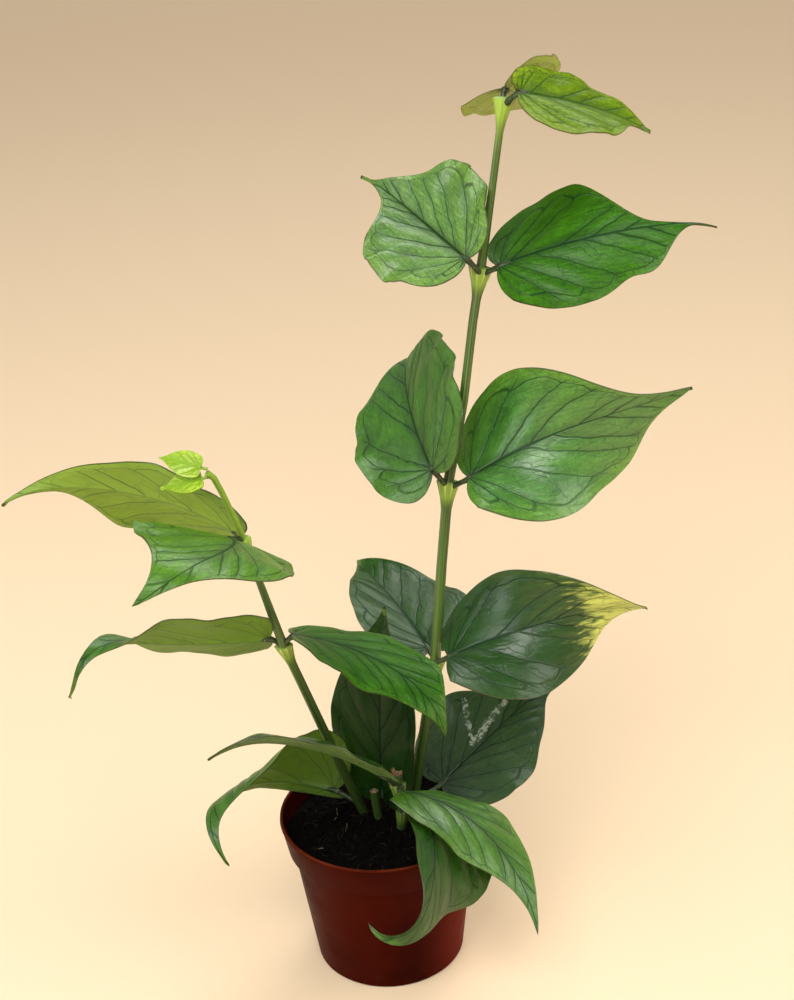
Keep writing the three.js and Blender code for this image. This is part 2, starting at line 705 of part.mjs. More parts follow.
const youngLeaves = ['leaf_top_right', 'leaf_top_back'];
const oldLeaves = ['leaf_base_back', 'leaf_base_right'];
const newLeaves = ['leaf_new_upper', 'leaf_new_lower'];

function leafFinish(name) {
  if (youngLeaves.includes(name)) return finishes.youngLeaf;
  if (oldLeaves.includes(name)) return finishes.oldLeaf;
  if (newLeaves.includes(name)) return finishes.newLeaf;
  return finishes.leaf;
}

function namedMesh(name, solid, material) {
  const shape = solid.getMesh();
  const geometry = new THREE.BufferGeometry();
  const positions = new Float32Array(shape.numVert * 3);
  for (let i = 0; i < shape.numVert; i += 1) {
    for (let axis = 0; axis < 3; axis += 1) {
      positions[i * 3 + axis] = shape.vertProperties[i * shape.numProp + axis];
    }
  }
  geometry.setAttribute('position', new THREE.BufferAttribute(positions, 3));
  geometry.setIndex(new THREE.BufferAttribute(new Uint32Array(shape.triVerts), 1));
  const flat = geometry.toNonIndexed();
  flat.computeVertexNormals();
  const mesh = new THREE.Mesh(flat, material);
  mesh.name = name;
  return mesh;
}

const shoots = { stem_tall: tallShoot, stem_left: leftShoot, stem_cut: cutShoot, stem_stub: stubShoot };

const hoya = new THREE.Group();
hoya.name = 'potted_fishtail_hoya';
hoya.add(namedMesh('pot', potSolid(), finishes.potPlastic));
hoya.add(namedMesh('soil', soilSolid(Object.values(shoots)), finishes.soil));
Object.entries(shoots).forEach(([name, shoot]) => {
  hoya.add(namedMesh(name, stemSolid(shoot), finishes.stem));
});
const stemKeepOut = Object.values(shoots)
  .map((shoot) => stemSolid(shoot, stem.leafGap))
  .reduce((all, one) => all.add(one));
Object.entries(leaves).forEach(([name, given]) => {
  const leaf = { ...plainLeaf, ...given };
  hoya.add(namedMesh(name, leafSolid(leaf, stemKeepOut), leafFinish(name)));
});

export default hoya;
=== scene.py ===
# Potted fishtail hoya: three shoots of thick veined leaves in a small plastic nursery pot.
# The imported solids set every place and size. Lengths in the dictionaries are millimetres.
import random
from functools import partial
from math import cos, exp, hypot, pi, radians, sin, sqrt, tan

import bpy
from mathutils import Matrix, Vector, noise


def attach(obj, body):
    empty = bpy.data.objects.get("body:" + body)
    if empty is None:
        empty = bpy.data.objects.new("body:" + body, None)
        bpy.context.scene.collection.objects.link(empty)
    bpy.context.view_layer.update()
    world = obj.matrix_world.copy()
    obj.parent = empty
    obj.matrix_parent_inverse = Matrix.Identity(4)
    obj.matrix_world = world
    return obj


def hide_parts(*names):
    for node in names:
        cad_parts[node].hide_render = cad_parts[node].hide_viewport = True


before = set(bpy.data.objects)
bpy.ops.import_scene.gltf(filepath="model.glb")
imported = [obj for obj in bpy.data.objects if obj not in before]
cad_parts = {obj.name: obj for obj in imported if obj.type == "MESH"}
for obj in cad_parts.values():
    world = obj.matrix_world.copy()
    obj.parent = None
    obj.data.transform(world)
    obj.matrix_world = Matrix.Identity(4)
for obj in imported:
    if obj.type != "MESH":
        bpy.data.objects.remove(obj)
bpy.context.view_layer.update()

mm = 0.001
meshOps = bpy.ops.mesh
print("frame loaded")


# Small helpers for objects
def setMode(mode):
    bpy.ops.object.mode_set(mode=mode)


def clearSelection():
    if bpy.context.object and bpy.context.object.mode != "OBJECT":
        setMode("OBJECT")
    bpy.ops.object.select_all(action="DESELECT")


def pick(piece):
    clearSelection()
    piece.select_set(True)
    bpy.context.view_layer.objects.active = piece


def applyModifier(piece, kind, **settings):
    pick(piece)
    modifier = piece.modifiers.new(kind.lower(), kind)
    for key, value in settings.items():
        setattr(modifier, key, value)
    bpy.ops.object.modifier_apply(modifier=modifier.name)


def addObject(name, data):
    piece = bpy.data.objects.new(name, data)
    bpy.context.scene.collection.objects.link(piece)
    return piece


def addShape(operator, **given):
    clearSelection()
    operator(**given)
    return bpy.context.object


def addGrid(name, columns, rows):
    piece = addShape(meshOps.primitive_grid_add, x_subdivisions=columns, y_subdivisions=rows, size=2)
    piece.name = name
    piece.data.name = name
    return piece


def gridPlace(vertex, columns, rows):
    return round((vertex.co.x + 1) / 2 * columns), round((vertex.co.y + 1) / 2 * rows)


def mergeClose(piece, distance):
    pick(piece)
    setMode("EDIT")
    meshOps.select_all(action="SELECT")
    meshOps.remove_doubles(threshold=distance)
    setMode("OBJECT")


def joinInto(piece, others):
    pick(piece)
    for other in others:
        other.select_set(True)
    bpy.ops.object.join()


def smoothShade(piece, degrees):
    pick(piece)
    bpy.ops.object.shade_smooth_by_angle(angle=radians(degrees))


def coat(piece, *materials):
    for material in materials:
        piece.data.materials.append(material)


def faceOutwards():
    meshOps.select_all(action="SELECT")
    meshOps.normals_make_consistent(inside=False)
    setMode("OBJECT")


def standFor(piece, node):
    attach(piece, "root")
    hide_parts(node)


def between(a, b, share):
    return a + (b - a) * share


def onCircle(radius, turn):
    return radius * cos(turn), radius * sin(turn)


def eased(low, high, x):
    t = min(max((x - low) / (high - low), 0), 1)
    return t * t * (3 - 2 * t)


def curveThrough(values, share):
    # a smooth curve through evenly spaced values
    last = len(values) - 1
    t = share * last
    k = min(int(t), last - 1)
    u = t - k
    p1 = values[k]
    p2 = values[k + 1]
    p0 = values[k - 1] if k > 0 else 2 * p1 - p2
    p3 = values[k + 2] if k + 2 <= last else 2 * p2 - p1
    a = 2 * p1 + (p2 - p0) * u
    b = (2 * p0 - 5 * p1 + 4 * p2 - p3) * u * u
    c = (3 * p1 - p0 - 3 * p2 + p3) * u * u * u
    return 0.5 * (a + b + c)


# Small helpers for materials: each adds its nodes to the newest material
def newMaterial(name, roughness=0.5, specular=0.5):
    global tree, sockets, coords
    material = bpy.data.materials.new(name)
    material.use_nodes = True
    tree = material.node_tree
    sockets = tree.nodes["Principled BSDF"].inputs
    sockets["Roughness"].default_value = roughness
    sockets["Specular IOR Level"].default_value = specular
    coords = addNode("TexCoord").outputs["Object"]
    return material


def plug(socket, value):
    if isinstance(value, bpy.types.NodeSocket):
        tree.links.new(value, socket)
    elif value is not None:
        socket.default_value = value


def addNode(kind, **given):
    node = tree.nodes.new("ShaderNode" + kind)
    for name, value in given.items():
        plug(node.inputs[name], value)
    return node


def calc(operation, first, second=None, third=None, clamp=False):
    node = addNode("Math")
    node.operation = operation
    node.use_clamp = clamp
    for socket, value in zip(node.inputs, (first, second, third)):
        plug(socket, value)
    return node.outputs[0]


absolute = partial(calc, "ABSOLUTE")
greater = partial(calc, "MAXIMUM")
minus = partial(calc, "SUBTRACT")
over = partial(calc, "DIVIDE")
plus = partial(calc, "ADD")
power = partial(calc, "POWER")
times = partial(calc, "MULTIPLY")
timesPlus = partial(calc, "MULTIPLY_ADD")


def ramp(value, low, high, start=0.0, end=1.0):
    # eases from start at low to end at high
    node = addNode("MapRange")
    node.interpolation_type = "SMOOTHSTEP"
    for socket, given in zip(node.inputs, (value, low, high, start, end)):
        plug(socket, given)
    return node.outputs[0]


def mix(share, first, second, blend="MIX"):
    # plain colours are given as red, green and blue
    node = addNode("Mix")
    node.data_type = "RGBA"
    node.blend_type = blend
    plug(node.inputs[0], share)
    for place, value in ((6, first), (7, second)):
        plug(node.inputs[place], (*value, 1) if isinstance(value, tuple) else value)
    return node.outputs[2]


def shade(colour, amount):
    return tuple(c * amount for c in colour)


def grain(vector, scale, detail=3.0, rough=0.5, stretch=None):
    if stretch:
        vector = addNode("Mapping", Vector=vector, Scale=stretch).outputs[0]
    return addNode("TexNoise", Vector=vector, Scale=scale, Detail=detail, Roughness=rough).outputs[0]


def parts(vector):
    return addNode("SeparateXYZ", Vector=vector).outputs


def uvParts(name):
    uv = addNode("UVMap")
    uv.uv_map = name
    x, y, z = parts(uv.outputs[0])
    return uv.outputs[0], x, y


def paint(colour):
    plug(sockets["Base Color"], colour)


def bump(height, strength, distance):
    node = addNode("Bump", Strength=strength, Distance=distance, Height=height)
    plug(sockets["Normal"], node.outputs[0])


# Camera
cameraSettings = dict(place=(14, -576, 470), downward=24.5, roll=-3.5, lens=60)


def makeCamera():
    data = bpy.data.cameras.new("camera")
    data.lens = cameraSettings["lens"]
    data.sensor_width = 36
    camera = addObject("camera", data)
    tilt = Matrix.Rotation(radians(90 - cameraSettings["downward"]), 4, "X")
    roll = Matrix.Rotation(radians(cameraSettings["roll"]), 4, "Z")
    place = Vector(cameraSettings["place"]) * mm
    camera.matrix_world = Matrix.Translation(place) @ tilt @ roll
    bpy.context.scene.camera = camera


makeCamera()
print("camera placed")

# Floor and light, in metres
studioSettings = dict(
    floorSize=60, floorColour=(0.87, 0.68, 0.47),
    worldColour=(1, 0.93, 0.83), worldStrength=0.31,
    sunAim=(-0.36, -0.62, -0.68), sunStrength=1.02, sunSpread=32, sunColour=(1, 0.97, 0.92),
    lights=[
        # name, place, aim, size, watts, colour
        ("front", (-0.15, -1, 1.35), (0, 0, 0.2), 1, 20, (1, 0.98, 0.95)),
        ("left", (-1.1, -0.5, 0.5), (0, 0, 0.2), 0.9, 8, (0.97, 0.99, 1)),
        ("right", (1.05, -0.3, 0.75), (0, 0, 0.15), 0.8, 6, (1, 0.96, 0.9)),
        ("back", (0.3, 5.2, 3), (0, 0, 0.2), 2, 19, (0.98, 1, 1)),
        ("top", (0, 1.1, 1.8), (0, 0, 0.3), 0.6, 3.4, (0.98, 1, 1)),
    ],
)


def makeFloor():
    floor = addShape(meshOps.primitive_plane_add, size=studioSettings["floorSize"])
    floor.name = "floor"
    material = newMaterial("floor_pale", roughness=0.9, specular=0.1)
    paint((*studioSettings["floorColour"], 1))
    coat(floor, material)


def addLamp(name, kind, place, aim, colour, strength):
    data = bpy.data.lights.new(name, kind)
    data.energy = strength
    data.color = colour
    lamp = addObject(name, data)
    lamp.location = place
    lamp.rotation_euler = (Vector(aim) - Vector(place)).to_track_quat("-Z", "Y").to_euler()
    lamp.visible_camera = False
    return data


def makeLights():
    s = studioSettings
    world = bpy.data.worlds.new("studio")
    bpy.context.scene.world = world
    world.use_nodes = True
    background = world.node_tree.nodes["Background"]
    background.inputs[0].default_value = (*s["worldColour"], 1)
    background.inputs[1].default_value = s["worldStrength"]
    sun = addLamp("sun", "SUN", (0, 0, 0), s["sunAim"], s["sunColour"], s["sunStrength"])
    sun.angle = radians(s["sunSpread"])
    for name, place, aim, side, watts, colour in s["lights"]:
        addLamp(name, "AREA", place, aim, colour, watts).size = side
    bpy.context.scene.view_settings.view_transform = "Standard"


makeFloor()
makeLights()
print("floor and lights placed")

# The pot: thin plastic with a stepped collar
potSettings = dict(
    height=68, baseRadius=31, bodyTopRadius=38, collarHeight=14, collarLowRadius=40,
    rimRadius=42.5, wall=1.4, floor=2, sides=144, drainCount=6, drainRadius=3, drainCircle=19,
    dark=(0.024, 0.0013, 0.0002), bright=(0.048, 0.0029, 0.0005), dust=(0.2, 0.05, 0.02),
    litSideColour=(0.16, 0.0085, 0.0015), rimHighlight=(0.13, 0.022, 0.007), stain=(0.03, 0.018, 0.012),
)


def potMaterial():
    s = potSettings
    material = newMaterial("pot_plastic", roughness=0.45, specular=0.02)
    clouds = grain(coords, 24, 4)
    colour = mix(ramp(clouds, 0.35, 0.7), s["bright"], s["dark"])
    dust = grain(coords, 60, 6, 0.7, (1, 1, 2.5))
    colour = mix(times(ramp(dust, 0.52, 0.8), 0.04), colour, s["dust"])
    # painted light: the right side is painted lighter, as where light falls on it, and the rim top
    # carries a painted highlight
    x, y, z = parts(coords)
    litSide = timesPlus(minus(clouds, 0.5), 0.02, x)
    # painted light: lighter towards the right side
    colour = mix(ramp(litSide, 0.012, 0.036, 0, 0.75), colour, s["litSideColour"])
    # painted highlight: the top of the rim is painted lighter where it catches light
    rimHighlight = times(ramp(z, 0.0668, 0.068), ramp(dust, 0.3, 0.6, 0.35, 0.85))
    colour = mix(rimHighlight, colour, s["rimHighlight"])
    # specks of soil along the foot
    nearFoot = ramp(z, 0, 0.012, 0.5, 0)
    specks = ramp(grain(coords, 260, 4, 0.7), 0.56, 0.66)
    paint(mix(times(nearFoot, specks), colour, s["stain"]))
    plug(sockets["Roughness"], ramp(grain(coords, 90, 5, 0.65), 0.3, 0.75, 0.38, 0.54))
    rings = times(grain(coords, 40, 2, 0.5, (1, 1, 14)), 0.6)
    bump(plus(rings, times(grain(coords, 900, 2), 0.25)), 0.25, 0.0003)
    return material


def makePot():
    s = potSettings
    names = "height", "baseRadius", "bodyTopRadius", "collarLowRadius", "rimRadius", "wall"
    top, base, body, collar, rim, wall = (s[name] for name in names)
    step = top - s["collarHeight"]
    # radius and level, up the outside, over the rim and down the inside
    profile = [
        (base - 0.8, 0), (base, 0.8), (body - 0.25, step - 1.2), (body + 0.1, step - 0.2),
        (collar - 0.2, step), (collar + 0.05, step + 0.4), (rim - 0.35, top - 2.2),
        (rim, top - 1.3), (rim - 0.1, top - 0.4), (rim - wall / 2, top),
        (rim - wall + 0.1, top - 0.4), (rim - wall - 0.1, top - 1.3),
        (collar - wall, step + wall + wall), (body - wall, step + wall), (base - wall, s["floor"]),
    ]
    pot = addShape(meshOps.primitive_circle_add, vertices=s["sides"], radius=profile[0][0] * mm)
    pot.name = "pot_plastic_shell"
    setMode("EDIT")
    meshOps.edge_face_add()
    meshOps.select_mode(type="EDGE")
    for (radius, level), (nextRadius, nextLevel) in zip(profile, profile[1:]):
        rise = (nextLevel - level) * mm
        meshOps.extrude_edges_move(TRANSFORM_OT_translate={"value": (0, 0, rise)})
        grow = nextRadius / radius
        bpy.ops.transform.resize(value=(grow, grow, 1), center_override=(0, 0, nextLevel * mm))
    meshOps.edge_face_add()
    faceOutwards()
    for i in range(s["drainCount"]):
        turn = 2 * pi * i / s["drainCount"]
        x, y = onCircle(s["drainCircle"] * mm, turn)
        size = dict(radius=s["drainRadius"] * mm, depth=4 * s["floor"] * mm)
        drill = addShape(meshOps.primitive_cylinder_add, vertices=32, location=(x, y, 0), **size)
        applyModifier(pot, "BOOLEAN", operation="DIFFERENCE", object=drill)
        bpy.data.objects.remove(drill)
    sharp = radians(50)
    applyModifier(pot, "BEVEL", width=0.25 * mm, segments=2, limit_method="ANGLE", angle_limit=sharp)
    smoothShade(pot, 35)
    pot.data.materials.clear()
    coat(pot, potMaterial())
    standFor(pot, "pot")


makePot()
print("pot made")

# The soil: dark peat with crumbs, fibres and a few pale roots
soilSettings = dict(
    level=61.5, clearance=0.5, rings=84, spokes=240, lump=0.9, crumbCount=620,
    crumbSize=(0.45, 1.7), fibreCount=70, fibreRadius=0.13, rootCount=3, rootRadius=0.2, seed=11,
    dark=(0.0016, 0.0012, 0.0009), light=(0.011, 0.0075, 0.0055), fibre=(0.045, 0.025, 0.013),
    root=(0.2, 0.15, 0.09),
)


def soilMaterial():
    material = newMaterial("soil_peat", roughness=0.95, specular=0.08)
    crumbs = grain(coords, 420, 6, 0.7)
    patches = grain(coords, 60, 4, 0.6)
    share = times(ramp(crumbs, 0.48, 0.75), ramp(patches, 0.3, 0.75, 0.25, 1))
    paint(mix(share, soilSettings["dark"], soilSettings["light"]))
    bump(plus(crumbs, times(grain(coords, 1500, 4), 0.4)), 0.9, 0.0007)
    return material


def fibreMaterial(name, colour):
    material = newMaterial(name, roughness=0.8, specular=0.2)
    streaks = grain(coords, 500, 4)
    paint(mix(streaks, shade(colour, 0.5), colour))
    return material


def soilHeight(x, y):
    # x and y in millimetres, gives the level of the surface there
    swell = sin(x * 0.17 + 1.1) * cos(y * 0.21 - 0.4)
    swell += 0.6 * sin(x * 0.41 - y * 0.33)
    lumps = noise.noise(Vector((x * 0.34, y * 0.34, 3))) * 0.9
    crumbs = abs(noise.noise(Vector((x * 0.95, y * 0.95, 8)))) * 0.9
    fine = noise.noise(Vector((x * 2.3, y * 2.3, 5))) * 0.28
    return soilSettings["level"] + soilSettings["lump"] * 0.6 * swell + lumps + crumbs + fine - 0.3


def closeTube(piece):
    # joins the seam of a wrapped grid and closes both of its ends
    mergeClose(piece, 0.002 * mm)
    setMode("EDIT")
    meshOps.select_all(action="DESELECT")
    meshOps.select_mode(type="EDGE")
    meshOps.select_non_manifold()
    meshOps.fill_holes(sides=0)
    faceOutwards()


def makeThread(points, radius, sides=5):
    # a fine closed tube along points given in millimetres, thinner towards its end
    last = len(points) - 1
    piece = addGrid("thread", last, sides)
    for vertex in piece.data.vertices:
        i, j = gridPlace(vertex, last, sides)
        way = (points[min(i + 1, last)] - points[max(i - 1, 0)]).normalized()
        side = way.cross(Vector((0.2, 0.1, 1))).normalized()
        turn = 2 * pi * j / sides
        slim = radius * (1 - 0.75 * (i / last) ** 2) * (0.2 if i == 0 else 1)
        around = side * cos(turn) + way.cross(side) * sin(turn)
        vertex.co = (points[i] + around * slim) * mm
    closeTube(piece)
    return piece


def anywhere(dice, reach):
    # a random place within reach of the middle
    return onCircle(reach * sqrt(dice.random()), dice.uniform(0, 2 * pi))


def makeCrumbs(dice, edge, material):
    # small irregular lumps scattered on the surface
    s = soilSettings
    pattern = addShape(meshOps.primitive_ico_sphere_add, subdivisions=1, radius=1)
    crumbs = []
    for i in range(s["crumbCount"]):
        x, y = anywhere(dice, edge - 2.2)
        crumb = addObject("crumb", pattern.data.copy())
        width = between(*s["crumbSize"], dice.random() ** 3)
        squash = Vector((dice.uniform(0.7, 1.3), dice.uniform(0.7, 1.3), dice.uniform(0.5, 0.9)))
        centre = Vector((x, y, soilHeight(x, y) + 0.1 * width))
        for vertex in crumb.data.vertices:
            rough = 1 + 0.45 * noise.noise(vertex.co * 1.6 + Vector((i, 0, 0)))
            vertex.co = (centre + vertex.co * squash * width * rough) * mm
        coat(crumb, material)
        crumbs.append(crumb)
    bpy.data.objects.remove(pattern)
    return crumbs


def makeThreads(dice, edge, materials):
    # fibres and roots that lie in loose curves and turn back before the pot's wall
    s = soilSettings
    threads = []
    for i in range(s["fibreCount"] + s["rootCount"]):
        isRoot = i >= s["fibreCount"]
        x, y = anywhere(dice, edge - 5)
        heading = dice.uniform(0, 2 * pi)
        bend = dice.uniform(-0.25, 0.25)
        step = dice.uniform(0.6, 1.2) * (1.5 if isRoot else 1)
        points = []
        for k in range(7):
            if hypot(x, y) > edge - 2:
                heading += 2.2
            lift = 0.35 + 0.4 * sin(k * 1.3 + i)
            points.append(Vector((x, y, soilHeight(x, y) + (lift if 0 < k < 6 else -0.5))))
            heading += bend
            x += step * cos(heading)
            y += step * sin(heading)
        thread = makeThread(points, s["rootRadius" if isRoot else "fibreRadius"])
        coat(thread, *materials[: 3 if isRoot else 2])
        for face in thread.data.polygons:
            face.material_index = 2 if isRoot else 1
        threads.append(thread)
    return threads


def makeSoil():
    s = soilSettings
    p = potSettings
    dice = random.Random(s["seed"])
    inset = p["wall"] + s["clearance"]
    stepInside = p["height"] - p["collarHeight"] + p["wall"]
    # half widths and levels inside the pot, from the surface down to the floor
    edge = between(p["collarLowRadius"], p["rimRadius"], 0.55) - inset
    walls = [
        (edge, s["level"] - 1.4),
        (p["collarLowRadius"] - inset, stepInside + p["wall"]),
        (p["bodyTopRadius"] - inset, stepInside - 0.3),
        (p["baseRadius"] - inset, p["floor"] + s["clearance"]),
    ]
    rows = s["rings"] + len(walls)
    soil = addGrid("soil_peat", rows, s["spokes"])
    for vertex in soil.data.vertices:
        i, j = gridPlace(vertex, rows, s["spokes"])
        turn = 2 * pi * j / s["spokes"]
        if i <= s["rings"]:
            radius = edge * i / s["rings"]
            level = soilHeight(*onCircle(radius, turn)) - 1.2 * eased(0.94, 1, i / s["rings"])
        else:
            radius, level = walls[i - s["rings"] - 1]
        vertex.co = Vector((*onCircle(radius, turn), level)) * mm
    closeTube(soil)
    materials = [
        soilMaterial(),
        fibreMaterial("soil_fibre", s["fibre"]),
        fibreMaterial("soil_root", s["root"]),
    ]
    coat(soil, *materials)
    crumbs = makeCrumbs(dice, edge, materials[0])
    joinInto(soil, crumbs + makeThreads(dice, edge, materials))
    smoothShade(soil, 60)
    standFor(soil, "soil")


makeSoil()
print("soil made")

# The stems: fleshy, grooved, and swollen under each pair of leaves
stemSettings = dict(
    sides=48, stepLength=2, flatten=0.62, shoulder=0.9, flareLength=12, flareMost=0.9,
    flarePower=1.4, groove=0.05, flutes=0.045,
    green=(0.06, 0.135, 0.012), dark=(0.024, 0.06, 0.007), silverSheen=(0.2, 0.29, 0.1),
    brown=(0.09, 0.07, 0.03), young=(0.3, 0.46, 0.035), pale=(0.27, 0.43, 0.04),
    creamRidgeSheen=(0.62, 0.68, 0.28), low=(0.022, 0.04, 0.009), cut=(0.42, 0.27, 0.17),
    bud=(0.3, 0.18, 0.09),
)

# each stop is x, y, z, a radius and the half width of the swelling there (0 for none)
buriedLevel = 38
tallShoot = [
    (11.4, 6.2, buriedLevel, 2.1, 0), (12.3, 5.7, 61, 2.1, 0), (13.2, 5.7, 67, 2.1, 2.7),
    (25.3, 5, 133, 2.1, 4), (30, 4.5, 178, 1.95, 0), (34, 4, 212, 2, 4.4), (41, 3.4, 245, 1.65, 0),
    (45.6, 2.5, 276, 1.6, 0), (49.2, 2, 296, 1.7, 4.4), (54.4, 1, 327, 1.3, 0),
    (59, 0, 356, 1.3, 3.6),
]
leftShoot = [
    (-4, 13, buriedLevel, 2, 0), (-7.9, 7.8, 61, 2, 0), (-15.8, -0.8, 91, 1.95, 0),
    (-26, -22.5, 140.5, 1.75, 0), (-31.3, -35, 167, 1.75, 3.4), (-36.6, -48, 201, 1.3, 0),
    (-40, -55, 221.5, 1.3, 2.7), (-42.6, -58.5, 233, 1.1, 0), (-45, -62, 243, 1.1, 0),
    (-46.6, -64.6, 249, 1.1, 0), (-48.4, -66, 251.6, 1.1, 0),
]
cutShoot = [
    (7.8, -4, buriedLevel, 2, 0), (7.6, -5.2, 61, 2, 0), (8.6, -6, 70, 2, 2.9),
    (7.2, -7, 84, 2, 3.4), (7.2, -7, 89, 1.9, 0),
]
stubShoot = [
    (-0.4, 3, buriedLevel, 1.8, 0), (-1.8, 3, 61, 1.8, 0), (-2.9, 3, 74.5, 1.7, 0),
]


def stemRings(shoot):
    # centre, wide and thin half widths, and how far into a swelling each ring lies
    s = stemSettings
    rings = [(Vector(shoot[0][:3]), shoot[0][3], shoot[0][3], 0)]
    for lower, upper in zip(shoot, shoot[1:]):
        start = Vector(lower[:3])
        end = Vector(upper[:3])
        fromRadius, fromFlare = lower[3:]
        toRadius, toFlare = upper[3:]
        way = (end - start).length
        count = max(2, round(way / s["stepLength"]))
        shares = [(k + 1) / count for k in range(count)]
        if fromFlare:
            shares = [0.12 / way, s["shoulder"] * 0.6 / way, s["shoulder"] / way] + shares
        for share in sorted(shares):
            distance = share * way
            wide = between(fromRadius, toRadius, share)
            thin = wide
            swell = 0
            if toFlare:
                flareShare = min(s["flareMost"], s["flareLength"] / way)
                swell = max(0, (share - 1 + flareShare) / flareShare) ** s["flarePower"]
                wide = between(wide, toFlare, swell)
                thin = max(toRadius, wide * between(1, s["flatten"], swell))
            if fromFlare and distance <= s["shoulder"]:
                fade = 1 - eased(0, s["shoulder"], distance)
                wide = between(wide, fromFlare * 0.94, fade)
                thin = max(thin, fromFlare * s["flatten"] * 0.94 * fade)
                swell = 0.6 * fade
            rings.append((start.lerp(end, share), wide, thin, swell))
    return rings


def stemMaterial(name, youngFrom, darkTo):
    # youngFrom and darkTo are lengths along the shoot, in tenths of a metre
    s = stemSettings
    material = newMaterial(name, roughness=0.4, specular=0.5)
    uv, around, along = uvParts("skin")
    swell = uvParts("swell")[1]
    # long stripes: dark and bright green, a few brown ones, and silvery ones, stronger up the shoot, that
    # are partly pale lines and partly a painted highlight
    stripes = grain(uv, 1, 3, 0.6, (22, 1.3, 1))
    colour = mix(ramp(stripes, 0.36, 0.6), s["dark"], s["green"])
    silverSheen = ramp(grain(uv, 1, 2, 0.5, (31, 1.1, 1)), 0.54, 0.62, 0, 0.5)
    silverSheen = times(silverSheen, ramp(along, 1.2, 2.8, 0.6, 1.5), clamp=True)
    colour = mix(silverSheen, colour, s["silverSheen"])
    brown = ramp(grain(uv, 1, 2, 0.5, (13, 2.2, 1)), 0.6, 0.68, 0, 0.5)
    colour = mix(brown, colour, s["brown"])
    # the swellings are yellow-green, with cream ridges that are partly pale and partly a painted
    # highlight on the ridge tops
    flutes = calc("COSINE", times(around, 2 * pi * 9))
    colour = mix(ramp(swell, 0.02, 0.5, 0, 0.85), colour, s["pale"])
    creamRidgeSheen = times(ramp(swell, 0.25, 0.95), ramp(flutes, 0.3, 1, 0, 0.8))
    colour = mix(creamRidgeSheen, colour, s["creamRidgeSheen"])
    colour = mix(ramp(along, youngFrom, youngFrom + 0.25, 0, 0.8), colour, s["young"])
    colour = mix(ramp(along, darkTo, darkTo * 0.3, 0, 0.65), colour, s["low"])
    paint(colour)
    bump(plus(stripes, times(grain(coords, 1800, 3), 0.25)), 0.4, 0.0005)
    return material


def woodMaterial(name, colour):
    material = newMaterial(name, roughness=0.8, specular=0.2)
    rings = grain(coords, 900, 5, 0.7)
    paint(mix(ramp(rings, 0.35, 0.65), shade(colour, 0.35), colour))
    bump(rings, 0.6, 0.0004)
    return material


stemSkin = stemMaterial("stem_skin", 3, 1.1)
sideStemSkin = stemMaterial("stem_side_skin", 1.85, 1.7)
cutFace = woodMaterial("stem_cut_face", stemSettings["cut"])
dryBud = woodMaterial("stem_dry_bud", stemSettings["bud"])


def wrapRings(name, rings, sides, groove=0.0, wideWay=Vector((1, 0, 0))):
    # a closed tube through the rings, with its length and swelling kept for the materials
    last = len(rings) - 1
    piece = addGrid(name, last, sides)
    skin, swell = (piece.data.uv_layers.new(name=name) for name in ("skin", "swell"))
    lengths = [0.0]
    for a, b in zip(rings, rings[1:]):
        lengths.append(lengths[-1] + (b[0] - a[0]).length)
    places = {v.index: gridPlace(v, last, sides) for v in piece.data.vertices}
    for loop in piece.data.loops:
        i, j = places[loop.vertex_index]
        skin.data[loop.index].uv = (j / sides, lengths[i] / 100)
        swell.data[loop.index].uv = (rings[i][3], 0)
    for vertex in piece.data.vertices:
        i, j = places[vertex.index]
        centre, wide, thin = rings[i][:3]
        way = (rings[min(i + 1, last)][0] - rings[max(i - 1, 0)][0]).normalized()
        across = (wideWay - way * wideWay.dot(way)).normalized()
        deep = way.cross(across)
        turn = 2 * pi * j / sides + pi / 2  # the seam lies at the back
        ribs = 1 + groove * (0.5 * cos(turn * 4 + 0.6) + 0.35 * cos(turn * 10))
        if groove:
            ribs += stemSettings["flutes"] * rings[i][3] * cos(9 * turn - 9 * pi / 2)
        vertex.co = (centre + (across * wide * cos(turn) + deep * thin * sin(turn)) * ribs) * mm
    closeTube(piece)
    return piece


def makeStem(node, shoot, skin, capMaterial=None):
    rings = stemRings(shoot)
    top, wide, thin, swell = rings[-1]
    if shoot[-1][4]:  # a swollen top is rounded off
        onward = (rings[-1][0] - rings[-2][0]).normalized()
        rings.append((top + onward * 0.35, wide * 0.8, thin * 0.8, 0.6))
    piece = wrapRings(node + "_skin", rings, stemSettings["sides"], stemSettings["groove"])
    coat(piece, skin)
    if capMaterial:
        coat(piece, capMaterial)
        for face in piece.data.polygons:
            if face.center.z > (top.z - 0.3) * mm and face.normal.z > 0.7:
                face.material_index = 1
    smoothShade(piece, 50)
    standFor(piece, node)
    return piece


def makeBud(points, radius):
    # a dry, shrivelled stalk end
    rings = []
    for k, point in enumerate(points):
        slim = radius * (1 - 0.3 * k / (len(points) - 1)) * (1.15 if k % 2 else 0.85)
        rings.append((Vector(point), slim, slim * 0.7, 0))
    bud = wrapRings("dry_bud", rings, 10, 0.12)
    coat(bud, dryBud)
    return bud


makeStem("stem_tall", tallShoot, stemSkin)
makeStem("stem_left", leftShoot, sideStemSkin)
cutStem = makeStem("stem_cut", cutShoot, stemSkin, cutFace)
makeStem("stem_stub", stubShoot, stemSkin, cutFace)
joinInto(cutStem, [
    makeBud([(6.6, -7.4, 88), (6.1, -7.8, 90), (5.9, -8.4, 91.6), (5.4, -8.6, 92.6)], 1.1),
    makeBud([(8.2, -7.6, 88), (8.7, -8, 89.6), (8.9, -8.5, 91.2)], 0.8),
    makeBud([(5.4, -8.6, 84.6), (4.4, -9.3, 85.6), (3.9, -9.9, 87)], 0.8),
])
print("stems made")

